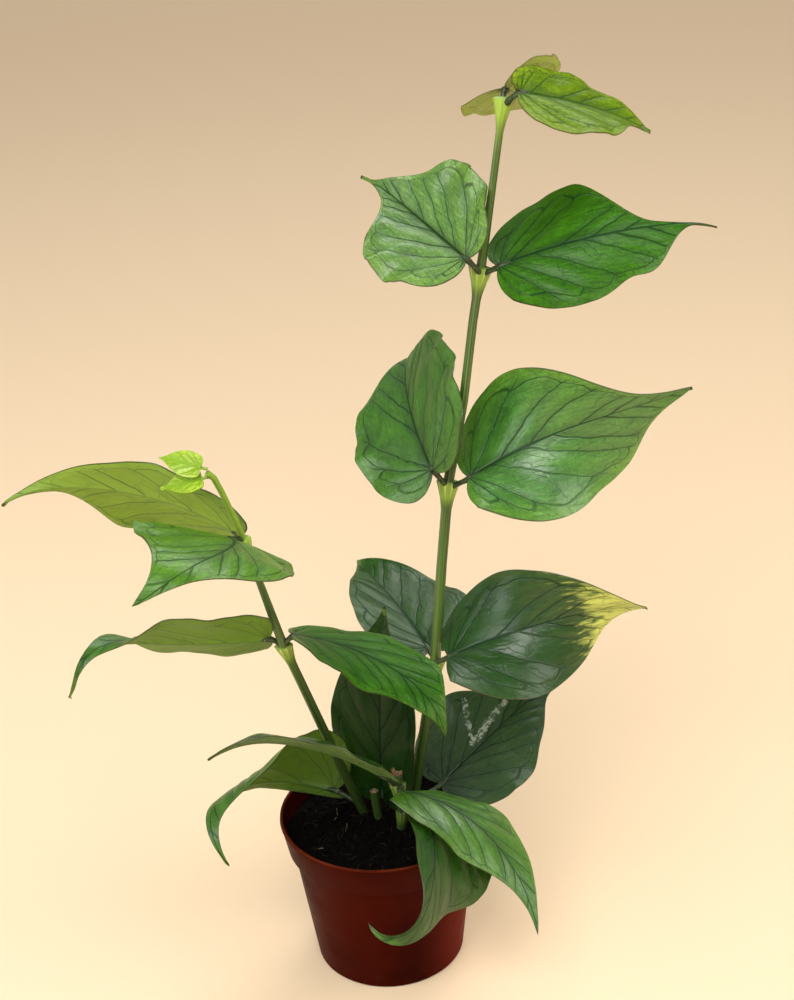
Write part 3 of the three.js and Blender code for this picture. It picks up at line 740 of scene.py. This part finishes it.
# The leaves: thick blades with a sunk midrib, looping veins and a dark red-brown edge
blade = dict(
    stations=96, across=20, turnSteps=32, edgeThickness=0.45, edgeWidth=2.5, keel=0.8,
    keelWidth=1.2, grooveDepth=0.3, grooveWidth=0.8, quilting=0.42, tailHalfWidth=0.5,
    threadHalfWidth=0.35, bulgeAt=0.78, bulgeSpread=0.11, bulgeHeight=0.22, fanVeins=4.5,
    veinSpacing=0.17, veinAngles=(179, 150, 112, 78, 52, 36, 28, 26, 25, 25, 25, 26),
)

# half outline of a flat blade: along over the length, then half width over the widest
outlineAlong = [0, -0.045, -0.075, -0.055, 0.04, 0.2, 0.36, 0.52, 0.67, 0.79, 0.89, 1]
outlineAcross = [0, 0.1, 0.3, 0.55, 0.82, 0.985, 1, 0.87, 0.61, 0.32, 0.12, 0]

# a leaf with nothing special; each leaf's own dictionary changes what differs
plainLeaf = dict(
    # aim: heading, rise and roll of the base; bend and tipBend: arch, sweep and twist, in degrees
    bend=(0, 0, 0), tipBend=(0, 0, 0), tipFrom=0.55,
    # pairs are left and right; thread is the share of the length that is a thin tip
    fold=(5, 5), tail=(1, 1), bulge=(0, 0), lobe=1, thread=0,
    # ripple: height, number of waves and where they start; stalk: radius and reach under the blade
    ripple=(0.8, 3, 0), thickness=0.9, relief=1, stalk=(1.25, 7),
    small=False, slot="leaf",
    green=(0.045, 0.145, 0.016), bright=(0.085, 0.24, 0.018),
    margin=(0.11, 0.27, 0.016), vein=(0.008, 0.034, 0.012), veinStrength=0.78,
    edge=(0.035, 0.03, 0.012), tip=(0.085, 0.24, 0.018), tipReach=0.88,
    under=(0.16, 0.3, 0.05), underVein=(0.05, 0.12, 0.025),
    through=(0.34, 0.66, 0.05), throughShare=0.22,
    roughness=0.33, gloss=0.7, chalk=(0.66, 0.69, 0.62), marks=(),
)


def bySide(pair, side):
    return pair[0] if side > 0 else pair[1]


def spin(angle, axis):
    return Matrix.Rotation(angle, 3, axis)


def frameOf(place, turn):
    return (place.copy(), *(axis.copy() for axis in turn.col))


def midribStations(leaf):
    # place, along, left and up at even steps of the midrib
    steps = blade["turnSteps"]
    heading, rise, roll = (radians(angle) for angle in leaf["aim"])
    turn = spin(heading, "Z") @ spin(-rise, "Y") @ spin(roll, "X")
    place = Vector(leaf["base"])
    stations = [frameOf(place, turn)]
    beyondTip = 1 - leaf["tipFrom"]
    for i in range(steps):
        beyond = max(0, ((i + 0.5) / steps - leaf["tipFrom"]) / beyondTip)
        tipShare = beyond * 2 / beyondTip
        pairs = zip(leaf["bend"], leaf["tipBend"])
        arch, sweep, twist = (radians((whole + tip * tipShare) / steps) for whole, tip in pairs)
        middle = turn @ spin(arch / 2, "Y") @ spin(sweep / 2, "Z")
        place = place + middle.col[0] * (leaf["length"] / steps)
        turn = turn @ spin(arch, "Y") @ spin(sweep, "Z") @ spin(twist, "X")
        stations.append(frameOf(place, turn))
    return stations


def stationAt(stations, share):
    last = len(stations) - 1
    t = min(max(share, 0), 1) * last
    k = min(int(t), last - 1)
    return [a.lerp(b, t - k) for a, b in zip(stations[k], stations[k + 1])]


def threadStart(leaf):
    # all stations, the thin tip's share of the length, and the station where it starts
    return blade["stations"], leaf["thread"], round(blade["stations"] * (1 - leaf["thread"]))


def outlineSpot(leaf, side, i):
    # along over the length and half width in millimetres of the outline's point i on one side
    n, thread, bladeEnd = threadStart(leaf)
    if i > bladeEnd:
        along = between(1 - thread, 1, (i - bladeEnd) / (n - bladeEnd))
        return along, blade["threadHalfWidth"] * eased(0, 0.04, 1 - along)
    along = curveThrough(outlineAlong, i / bladeEnd)
    across = curveThrough(outlineAcross, i / bladeEnd)
    fromBulge = (along - blade["bulgeAt"]) / blade["bulgeSpread"]
    across += bySide(leaf["bulge"], side) * blade["bulgeHeight"] * exp(-fromBulge * fromBulge)
    tail = bySide(leaf["tail"], side)
    across *= (1 + (tail - 1) * eased(0.45, 0.8, along)) * bySide(leaf["half"], side)
    least = blade["threadHalfWidth" if thread else "tailHalfWidth"] * (0.5 if leaf["small"] else 1)
    if i > 0:
        across = max(across, least if thread else least * eased(0, 0.03, 1 - i / n))
    if along < 0:
        along *= leaf["lobe"]
    return along * (1 - thread), across


def flatPoint(leaf, i, j):
    # grid point i, j on the flat blade: side, along, across, share of the half width, way to the edge
    n, thread, bladeEnd = threadStart(leaf)
    m = blade["across"]
    side = 1 if j >= m else -1
    share = abs(j - m) / m
    if i <= bladeEnd:
        midrib = (i / bladeEnd) ** 1.25 * (1 - thread)
    else:
        midrib = between(1 - thread, 1, (i - bladeEnd) / (n - bladeEnd))
    edgeAlong, edgeAcross = outlineSpot(leaf, side, i)
    along = between(midrib, edgeAlong, share) * leaf["length"]
    return side, along, edgeAcross * share, share, edgeAcross * (1 - share)


def bentPoint(leaf, stations, side, along, across):
    # where a point of the flat blade comes to lie, and the way its upper face looks
    place, ahead, left, up = stationAt(stations, along / leaf["length"])
    fold = radians(bySide(leaf["fold"], side))
    if along < 0:
        place = place + stations[0][1] * along
    place = place + left * (side * across * cos(fold)) + up * (across * sin(fold))
    lift = up * cos(fold) - left * (side * sin(fold))
    height, waves, begin = leaf["ripple"]
    reach = across / bySide(leaf["half"], side)
    phase = radians(begin + bySide((0, 100), side) + 360 * waves * along / leaf["length"])
    wave = height * reach * reach * sin(phase)
    frill = 0.22 * height * reach ** 4 * sin(phase * 2.7 + leaf["seed"])
    return place + lift * (wave + frill), lift


def veinIndex(leaf, side, along, across):
    # which side vein passes here: the first fan out from the base, the others leave the midrib
    half = max(leaf["half"])
    last = len(blade["veinAngles"]) - 1
    low = 0
    high = last
    for step in range(16):
        t = (low + high) / 2
        start = leaf["length"] * blade["veinSpacing"] * max(0, t - blade["fanVeins"])
        angle = radians(curveThrough(blade["veinAngles"], t / last))
        reach = start + across / tan(angle) + 0.3 * across * across / half
        if reach < along:
            low = t
        else:
            high = t
    uneven = 0.18 * sin(t * 2.3 + leaf["seed"] * 1.7 + side * 0.8)
    return t + uneven + bySide((0, 20.37), side) + leaf["seed"] * 0.31


def veinSpacing(leaf, side, along, across, index):
    # millimetres from one side vein to the next, so that all veins are drawn at true width
    step = 0.6
    ahead = (veinIndex(leaf, side, along + step, across) - index) / step
    outward = (veinIndex(leaf, side, along, across + step) - index) / step
    return min(1 / max(hypot(ahead, outward), 0.02), 40)


def veinPattern(width):
    # how strongly a vein shows, and how far a point lies between two side veins
    bladeUv, alongUv, acrossUv = uvParts("blade")
    index, share = uvParts("veins")[1:]
    toEdge, spacing = uvParts("rim")[1:]
    wobble = minus(grain(bladeUv, 9, 3), 0.5)
    index = timesPlus(wobble, over(0.26, spacing), index)
    gap = times(absolute(minus(calc("FRACT", index), 0.5)), 2)
    # veins differ in strength, are widest near the base and fade before the edge
    which = addNode("TexWhiteNoise")
    which.noise_dimensions = "1D"
    plug(which.inputs["W"], calc("FLOOR", index))
    strong = ramp(which.outputs[0], 0.1, 0.9, 0.75, 1)
    near = ramp(alongUv, 0, 0.3, 1.15, 1)
    taper = times(times(near, ramp(share, 0.1, 0.85, 1.2, 0.7)), width)
    away = times(times(gap, 0.5), spacing)
    sideVein = times(ramp(over(away, taper), 0.008, 0.046, 1, 0), strong)
    sideVein = times(sideVein, ramp(share, 0.8, 0.92, 1, 0))
    # neighbours join in arcs inside the edge, and an uneven net of fine veins fills the rest
    loopAt = timesPlus(power(gap, 0.6), 0.13, 0.73)
    loopAt = timesPlus(wobble, 0.16, loopAt)
    loop = times(ramp(absolute(minus(share, loopAt)), 0.004 * width, 0.024 * width, 1, 0), 0.9)
    loop = times(loop, strong)
    bend = minus(grain(bladeUv, 16, 2), 0.5)
    netX = timesPlus(bend, 1.1, times(index, 2.2))
    netY = timesPlus(bend, 0.9, times(alongUv, 9))
    net = addNode("TexVoronoi", Vector=addNode("CombineXYZ", X=netX, Y=netY).outputs[0], Scale=1)
    net.feature = "DISTANCE_TO_EDGE"
    mesh = ramp(net.outputs["Distance"], 0, 0.08, 0.36, 0)
    patchy = ramp(grain(bladeUv, 5, 2), 0.35, 0.62, 0.35, 1)
    minor = greater(greater(sideVein, loop), times(mesh, patchy))
    # the midrib tapers from the stalk to the tip
    rib = ramp(alongUv, 0, 0.8, 0.008, 0.0016)
    midrib = ramp(over(absolute(acrossUv), rib), 0.4, 1.15, 1, 0)
    veins = greater(minor, midrib)
    return veins, midrib, toEdge, gap, share, bladeUv, alongUv, acrossUv


def markShare(alongUv, acrossUv, mark):
    # a chalky streak between two places on the flat blade, given with its half width
    (fromAlong, fromAcross), (toAlong, toAcross), halfWidth = mark
    length = hypot(toAlong - fromAlong, toAcross - fromAcross)
    wayX = (toAlong - fromAlong) / length
    wayY = (toAcross - fromAcross) / length
    x = timesPlus(alongUv, 100, -fromAlong)
    y = timesPlus(acrossUv, 100, -fromAcross)
    forward = plus(times(x, wayX), times(y, wayY))
    sideways = minus(times(y, wayX), times(x, wayY))
    beyond = greater(greater(minus(forward, length), times(forward, -1)), 0)
    squares = plus(power(absolute(sideways), 2), power(beyond, 2))
    return ramp(power(squares, 0.5), halfWidth * 0.2, halfWidth, 1, 0)


def letLightThrough(leaf, veins):
    # some of the light that falls on one face comes out of the other
    colour = mix(times(veins, 0.75), leaf["through"], leaf["underVein"])
    blend = addNode("MixShader", Fac=leaf["throughShare"])
    plug(blend.inputs[1], tree.nodes["Principled BSDF"].outputs[0])
    plug(blend.inputs[2], addNode("BsdfTranslucent", Color=colour).outputs[0])
    plug(tree.nodes["Material Output"].inputs["Surface"], blend.outputs[0])


def upperMaterial(name, leaf):
    material = newMaterial(name + "_upper")
    veins, midrib, toEdge, gap, share, bladeUv, alongUv, acrossUv = veinPattern(1)
    # brighter between the veins and in blotches, and again towards the edge
    mottle = grain(coords, 60, 4, 0.6)
    bright = timesPlus(ramp(gap, 0.1, 0.9), 0.45, times(ramp(mottle, 0.35, 0.7), 0.55))
    colour = mix(bright, leaf["green"], leaf["bright"])
    nearMargin = times(ramp(share, 0.7, 0.98), ramp(mottle, 0.3, 0.6, 0.35, 0.8))
    colour = mix(nearMargin, colour, leaf["margin"])
    # fine flecks, and streaks that run along the blade
    fleck = ramp(grain(coords, 1000, 2, 0.6), 0.4, 0.64, 0.8, 1.15)
    colour = mix(1, colour, fleck, "MULTIPLY")
    streaks = ramp(grain(bladeUv, 1, 4, 0.6, (9, 110, 1)), 0.36, 0.64, 0.76, 1.16)
    colour = mix(1, colour, streaks, "MULTIPLY")
    # the tip has its own colour, with a ragged border
    reach = leaf["length"] / 100
    uneven = minus(grain(bladeUv, 1, 5, 0.65, (14, 60, 1)), 0.5)
    patch = timesPlus(uneven, 0.55, timesPlus(minus(mottle, 0.5), 0.25, alongUv))
    tip = ramp(patch, reach * (leaf["tipReach"] - 0.1), reach * (leaf["tipReach"] + 0.1))
    colour = mix(tip, colour, leaf["tip"])
    # veins, darker beside the midrib
    nearRib = times(ramp(absolute(acrossUv), 0, 0.05, 0.5, 0), ramp(alongUv, 0.2, 0.7, 1, 0.3))
    colour = mix(nearRib, colour, leaf["vein"])
    colour = mix(times(veins, leaf["veinStrength"]), colour, leaf["vein"])
    for mark in leaf["marks"]:
        chalk = markShare(alongUv, acrossUv, mark)
        flakes = timesPlus(chalk, 0.2, grain(coords, 520, 6, 0.8))
        broken = ramp(flakes, 0.66, 0.76, 0, 0.9)
        colour = mix(times(broken, ramp(chalk, 0, 0.3)), colour, leaf["chalk"])
    paint(mix(ramp(toEdge, 0.006, 0.03, 0.8, 0), colour, leaf["edge"]))
    # veins are duller than the waxy skin between them
    plug(sockets["Specular IOR Level"], timesPlus(veins, -0.65 * leaf["gloss"], leaf["gloss"]))
    low = leaf["roughness"] - 0.05
    plug(sockets["Roughness"], timesPlus(veins, 0.08, ramp(mottle, 0.3, 0.7, low, low + 0.11)))
    height = timesPlus(veins, -0.5, times(ramp(gap, 0, 1), 0.2))
    height = timesPlus(grain(coords, 800, 3, 0.6), 0.26, height)
    height = timesPlus(grain(bladeUv, 1, 3, 0.6, (8, 60, 1)), 0.5, height)
    height = timesPlus(grain(coords, 150, 2), 0.4, height)
    bump(height, 0.5, 0.0006)
    letLightThrough(leaf, veins)
    return material


def underMaterial(name, leaf):
    material = newMaterial(name + "_under", roughness=0.5, specular=0.35)
    veins, midrib, toEdge = veinPattern(0.8)[:3]
    colour = mix(grain(coords, 90, 4, 0.6), shade(leaf["under"], 0.82), leaf["under"])
    colour = mix(times(veins, 0.85), colour, leaf["underVein"])
    colour = mix(times(midrib, 0.5), colour, shade(leaf["under"], 1.2))
    paint(mix(ramp(toEdge, 0.006, 0.03, 0.85, 0), colour, leaf["edge"]))
    bump(timesPlus(grain(coords, 600, 3), 0.35, times(veins, 0.5)), 0.35, 0.0005)
    letLightThrough(leaf, veins)
    return material


def stalkMaterial():
    material = newMaterial("leaf_stalk", roughness=0.45, specular=0.45)
    marks = grain(coords, 700, 4, 0.6)
    colour = mix(ramp(marks, 0.4, 0.7), (0.016, 0.03, 0.01), (0.05, 0.09, 0.022))
    scars = ramp(grain(coords, 420, 2), 0.66, 0.72)
    paint(mix(scars, colour, (0.4, 0.36, 0.3)))
    bump(marks, 0.5, 0.0004)
    return material


leafStalk = stalkMaterial()
youngStalk = stemMaterial("stalk_young", -1, 0.001)


def makeStalk(piece, leaf, stations):
    # from inside the stem to the blade's base, and on under the midrib
    radius, reach = leaf["stalk"]
    base, ahead, left, up = stations[0]
    node = Vector(leaf["node"])
    start = base - up * leaf["thickness"] * 0.5
    farPlace, farAhead, farLeft, farUp = stationAt(stations, reach / leaf["length"])
    end = farPlace - farUp * leaf["thickness"] * 0.6
    before = start.lerp(node, 0.35) - ahead * (start - node).length * 0.12
    meets = 0.6  # the share of the stalk that lies before the blade
    rings = []
    for k in range(17):
        share = k / 16
        if share < meets:
            u = share / meets
            centre = node.lerp(before, u).lerp(before.lerp(start, u), u)
        else:
            centre = start.lerp(end, (share - meets) / 0.4)
        swell = 1.12 - 0.3 * sin(pi * min(share / meets, 1))
        slim = radius * swell * (1 - 0.72 * eased(meets, 1, share))
        rings.append((centre, slim, slim * 0.95, 0))
    stalk = wrapRings("stalk", rings, 14, 0.03, left)
    coat(stalk, *piece.data.materials, youngStalk if leaf["small"] else leafStalk)
    for face in stalk.data.polygons:
        face.material_index = 2
    joinInto(piece, [stalk])


def makeLeaf(node, leaf):
    n = blade["stations"]
    m = blade["across"]
    stations = midribStations(leaf)
    thickness = leaf["thickness"]
    relief = leaf["relief"]
    piece = addGrid(node + "_blade", n, 2 * m)
    mesh = piece.data
    places = {v.index: gridPlace(v, n, 2 * m) for v in mesh.vertices}
    flat = {place: flatPoint(leaf, *place) for place in places.values()}
    index = {}
    spacings = {}
    for place, (side, along, across, share, toEdge) in flat.items():
        ways = (side,) if place[1] != m else (1, -1)  # the midrib belongs to both halves
        index[place] = [veinIndex(leaf, way, along, across) for way in ways]
        spacings[place] = [veinSpacing(leaf, way, along, across, i) for way, i in zip(ways, index[place])]
    bladeUv, veinUv, rimUv = (mesh.uv_layers.new(name=name) for name in ("blade", "veins", "rim"))
    for face in mesh.polygons:
        side = 1 if sum(places[v][1] for v in face.vertices) > 4 * m else -1
        own = bySide((0, -1), side)
        for loop in face.loop_indices:
            place = places[mesh.loops[loop].vertex_index]
            pointSide, along, across, share, toEdge = flat[place]
            bladeUv.data[loop].uv = (along / 100, side * across / 100)
            veinUv.data[loop].uv = (index[place][own], share)
            rimUv.data[loop].uv = (toEdge / 10, spacings[place][own] / 10)
    ups = {}
    for vertex in mesh.vertices:
        place = places[vertex.index]
        side, along, across, share, toEdge = flat[place]
        point, lift = bentPoint(leaf, stations, side, along, across)
        rib = 1 - 0.75 * min(max(along / leaf["length"], 0), 1)
        groove = blade["grooveDepth"] * rib * exp(-((across / blade["grooveWidth"]) ** 2))
        gap = abs(index[place][0] % 1 - 0.5) * 2  # 0 on a side vein, 1 halfway to the next
        quilt = blade["quilting"] * eased(0, 0.9, gap) * eased(1, 6, across) * eased(1, 6, toEdge)
        vertex.co = (point + lift * (thickness / 2 + (quilt - groove) * relief)) * mm
        keel = blade["keel"] * rib * exp(-((across / blade["keelWidth"]) ** 2))
        thin = (thickness - blade["edgeThickness"]) * eased(blade["edgeWidth"], 0, toEdge)
        ups[vertex.index] = lift * (keel * relief - (0 if leaf["small"] else thin))
    count = len(mesh.vertices)
    coat(piece, upperMaterial(node, leaf), underMaterial(node, leaf))
    shell = dict(thickness=thickness * mm, offset=-1, use_even_offset=False)
    applyModifier(piece, "SOLIDIFY", material_offset=1, material_offset_rim=0, **shell)
    for vertex in piece.data.vertices:
        if vertex.index >= count:
            vertex.co -= ups[vertex.index - count] * mm
    mergeClose(piece, 0.01 * mm)
    makeStalk(piece, leaf, stations)
    smoothShade(piece, 60)
    standFor(piece, node)


# the two newest leaves at the tip of the left shoot are thin, flat and bright
newGrowth = dict(
    ripple=(0, 3, 0), thickness=0.62, relief=0.3, stalk=(0.6, 1.5),
    small=True, slot="leaf_new", lobe=0.4,
    green=(0.437, 0.651, 0.021), bright=(0.598, 0.798, 0.035), margin=(0.598, 0.798, 0.035),
    vein=(0.24, 0.44, 0.02), tip=(0.5, 0.72, 0.05), edge=(0.34, 0.5, 0.03),
    under=(0.5, 0.7, 0.06), underVein=(0.3, 0.5, 0.03),
)
leaves = {
    # tall shoot, top pair: still young and yellow-green
    "top_right": dict(node=(60, -1.5, 355), base=(64, -6, 359), aim=(27, -15, 44), length=66,
        half=(12, 20), bend=(18, 3, -27), tipBend=(8, 4, 62), fold=(12, 11), tail=(1.2, 0.6),
        bulge=(0.3, -0.3), lobe=0.6, slot="leaf_young", green=(0.1176, 0.2308, 0.0024),
        bright=(0.1959, 0.3334, 0.0037), margin=(0.2351, 0.3591, 0.0037), vein=(0.035, 0.095, 0.012),
        tip=(0.25, 0.36, 0.03), edge=(0.1, 0.07, 0.02), gloss=0.15),
    "top_back": dict(node=(58.5, 1.5, 355), base=(60, 9, 357.5), aim=(70, -18, -34), length=56,
        half=(20, 19), bend=(1, 0, 5), fold=(12, 12), lobe=1.2, slot="leaf_young",
        green=(0.273, 0.4069, 0.0308), bright=(0.4504, 0.6038, 0.0528), margin=(0.4914, 0.6038, 0.0616),
        vein=(0.06, 0.13, 0.02), tip=(0.3, 0.4, 0.05), edge=(0.12, 0.08, 0.03),
        under=(0.4641, 0.5513, 0.088), underVein=(0.12, 0.18, 0.03), gloss=0.3),
    # tall shoot, second pair
    "upper_left": dict(node=(49.2, 2, 293.5), base=(43.5, -5.5, 302), aim=(115, 11, -43), length=70,
        half=(28, 27), bend=(-23, 3, 15), tipBend=(32, 9, -43), fold=(23, 25), tail=(0.4, 0.55),
        bulge=(0, 0.5), lobe=1.3, thread=0.06, ripple=(2, 4, 0), green=(0.1072, 0.2513, 0.0596),
        bright=(0.1966, 0.3992, 0.065), margin=(0.1966, 0.3992, 0.0434), gloss=1),
    "upper_right": dict(node=(49.2, 2, 293.5), base=(55.5, -3.5, 298), aim=(3, 18, 19), length=81,
        half=(27, 24), bend=(15, -15, 60), tipBend=(31, 7, -88), fold=(-11, -12), tail=(0.3, 0.9),
        bulge=(-0.3, 1.5), lobe=0.5, thread=0.12, green=(0.0238, 0.1163, 0.0042),
        bright=(0.0477, 0.1963, 0.0048), margin=(0.0583, 0.1963, 0.0051), gloss=0.3),
    # tall shoot, third pair
    "middle_left": dict(node=(34, 4, 209.5), base=(28, -1, 219.5), aim=(111, 32, -57), length=84,
        half=(28, 32), bend=(45, 3, 10), tipBend=(75, 1, 10), tipFrom=0.7, fold=(9, 15), tail=(0.9, 1.2),
        lobe=1.1, ripple=(1.5, 4, 40), green=(0.0339, 0.1327, 0.0127), bright=(0.0642, 0.2198, 0.0143),
        margin=(0.083, 0.2473, 0.0127), gloss=0.95),
    "middle_right": dict(node=(34, 4, 209.5), base=(42, -2, 216), aim=(1, 30, 14), length=89,
        half=(28, 30), bend=(1, -25, 154), tipBend=(3, 10, -67), fold=(2, 5), tail=(0.9, 1.55),
        bulge=(-0.3, -0.3), lobe=0.4, green=(0.0529, 0.1893, 0.0343), bright=(0.0983, 0.3058, 0.0386),
        margin=(0.1663, 0.3931, 0.0343), gloss=1),
    # tall shoot, lowest pair
    "low_back": dict(node=(25.3, 5, 133), base=(23, 12.5, 135), aim=(109, 9, -4), length=84,
        half=(21, 28), bend=(9, 8, 26), tipBend=(27, -18, -112), fold=(6, 6), tail=(0.9, 1.1), lobe=0.9,
        green=(0.0127, 0.0554, 0.0077), bright=(0.0229, 0.0845, 0.0087), margin=(0.0255, 0.091, 0.0092),
        roughness=0.3, gloss=0.35),
    "low_right": dict(node=(25.3, 5, 133), base=(30.5, -5.5, 141), aim=(1, 23, 7), length=84.5,
        half=(24, 27), bend=(15, -14, 148), tipBend=(5, -52, -10), fold=(0, 8), tail=(1.2, 1.15),
        lobe=0.2, green=(0.0076, 0.0468, 0.005), bright=(0.0137, 0.0726, 0.0057),
        margin=(0.0183, 0.0797, 0.0057), veinStrength=0.65, tip=(0.72, 0.8, 0.16), tipReach=0.7,
        roughness=0.33, gloss=0.8),
    # left shoot, lower pair
    "side_left": dict(node=(-31.5, -35, 167), base=(-36.2, -37.4, 172.2), aim=(187, 1, 52), length=86,
        half=(23, 28), bend=(-13, 12, -12), tipBend=(117, 93, -182), tipFrom=0.45, fold=(0, 10),
        tail=(0.3, 0.2), lobe=0.25, under=(0.1552, 0.2916, 0.0236)),
    "side_right": dict(node=(-31.5, -35, 167), base=(-27, -38, 173), aim=(3, -15, -24), length=72,
        half=(21, 24), bend=(32, -45, 46), tipBend=(47, 8, 19), fold=(3, -5), tail=(1.5, 0.75),
        bulge=(-0.2, 0.3), lobe=0.25, green=(0.0227, 0.1042, 0.0048), bright=(0.0429, 0.1724, 0.0054),
        margin=(0.0554, 0.1939, 0.0048), veinStrength=0.72, tip=(0.1, 0.2, 0.03), gloss=0.15),
    # left shoot, upper pair
    "side_upper_back": dict(node=(-40, -55, 221.5), base=(-41.5, -46, 219), aim=(164, 33, 48), length=87,
        half=(18, 25), bend=(51, -2, 41), tipBend=(-12, -38, 48), fold=(2, 1), tail=(0.8, 0.2), lobe=0.2,
        green=(0.07, 0.21, 0.015), bright=(0.12, 0.3, 0.02), tip=(0.09, 0.24, 0.02),
        under=(0.266, 0.4134, 0.047)),
    "side_upper_front": dict(node=(-40, -55, 221.5), base=(-44, -61.5, 225), aim=(-71, 20, -34),
        length=83, half=(22, 33), bend=(39, -55, 0), tipBend=(89, -4, -44), fold=(-1, -12),
        tail=(0.5, 1.1), lobe=0.6, green=(0.0695, 0.2212, 0.0054), bright=(0.1191, 0.3133, 0.0076),
        margin=(0.1092, 0.2488, 0.0087), gloss=0.5),
    # cut shoot: its pair, and the leaf that hangs over the front of the rim
    "cut_left": dict(node=(6, -7.5, 84.5), base=(3, -16, 94), aim=(186, 41, 22), length=87, half=(18, 10),
        bend=(35, 30, 25), tipBend=(22, -19, 25), fold=(4, 13), tail=(1.3, 1.4), lobe=0.2,
        green=(0.025, 0.085, 0.022), bright=(0.04, 0.12, 0.025), under=(0.12, 0.2, 0.06)),
    "cut_right": dict(node=(8.4, -8, 83.5), base=(8.5, -16.5, 87), aim=(-18, 0, -31), length=83,
        half=(24, 21), bend=(81, -7, 41), tipBend=(-20, -21, 26), fold=(-5, -12), tail=(0.8, 0.6), lobe=0,
        green=(0.053, 0.1806, 0.0123), bright=(0.09, 0.255, 0.0137), margin=(0.1165, 0.2869, 0.0109),
        veinStrength=0.75, gloss=0.9),
    "cut_front": dict(node=(8.6, -6, 70), base=(17.5, -19.5, 77), aim=(-84, 32, -2), length=86,
        half=(33, 9), bend=(118, 15, -82), tipBend=(28, -132, 91), tipFrom=0.58, fold=(-25, 6),
        tail=(0.6, 0.2), lobe=0.4, green=(0.0124, 0.061, 0.0033), bright=(0.0207, 0.0854, 0.004),
        margin=(0.0303, 0.1097, 0.0035), veinStrength=0.65, gloss=0.6),
    # at soil level: the one over the left rim, and two old dark ones
    "base_left": dict(node=(-7.9, 7.8, 64), base=(-19.5, 13, 69.5), aim=(165, 13, 105), length=93,
        half=(33, 5), bend=(129, 14, -65), tipBend=(101, 11, -49), fold=(-13, -4), tail=(0.3, 1.1),
        lobe=0.7, under=(0.15, 0.26, 0.035)),
    "base_back": dict(node=(13.2, 5.7, 67), base=(0.5, 9, 67), aim=(85, 90, -34), length=98,
        half=(22, 18), bend=(5, -7, 27), tipBend=(-41, -12, -8), fold=(5, 8), tail=(1, 0.7), lobe=0.4,
        slot="leaf_old", green=(0.0046, 0.0202, 0.0039), bright=(0.0069, 0.0282, 0.0045),
        margin=(0.0063, 0.0261, 0.0043), vein=(0.008, 0.022, 0.011), veinStrength=0.5,
        tip=(0.025, 0.065, 0.024), gloss=0.3),
    "base_right": dict(node=(13.2, 5.7, 66.5), base=(26.2, 14.3, 68.8), aim=(27, 32, 2), length=63,
        half=(30, 30.5), bend=(-2, -3, 28), tipBend=(33, -14, 10), fold=(4, 5), tail=(0.65, 0.9),
        bulge=(0, 0.5), lobe=0.8, slot="leaf_old", green=(0.0349, 0.0664, 0.0379),
        bright=(0.055, 0.0949, 0.0435), margin=(0.0499, 0.087, 0.0379), vein=(0.008, 0.02, 0.01),
        veinStrength=0.45, tip=(0.02, 0.055, 0.02), gloss=0.5,
        marks=(((31, 21), (20, 3), 2.4), ((20, 3), (43, 7), 3.2))),
    # new growth at the tip of the left shoot
    "new_upper": dict(newGrowth, node=(-48.2, -65.8, 253), base=(-50.6, -66.2, 254), aim=(180, 24, -50),
        length=15, half=(4.6, 4.6), bend=(40, 0, 0), fold=(-8, -8)),
    "new_lower": dict(newGrowth, node=(-48.4, -66.4, 250.4), base=(-50.6, -66.4, 250),
        aim=(186, -14, -44), length=14, half=(4.2, 4.2), bend=(-20, 0, 0), fold=(10, 10)),
}

for seed, (name, leaf) in enumerate(leaves.items(), 2):
    makeLeaf("leaf_" + name, {**plainLeaf, **leaf, "seed": seed})
print("leaves made")
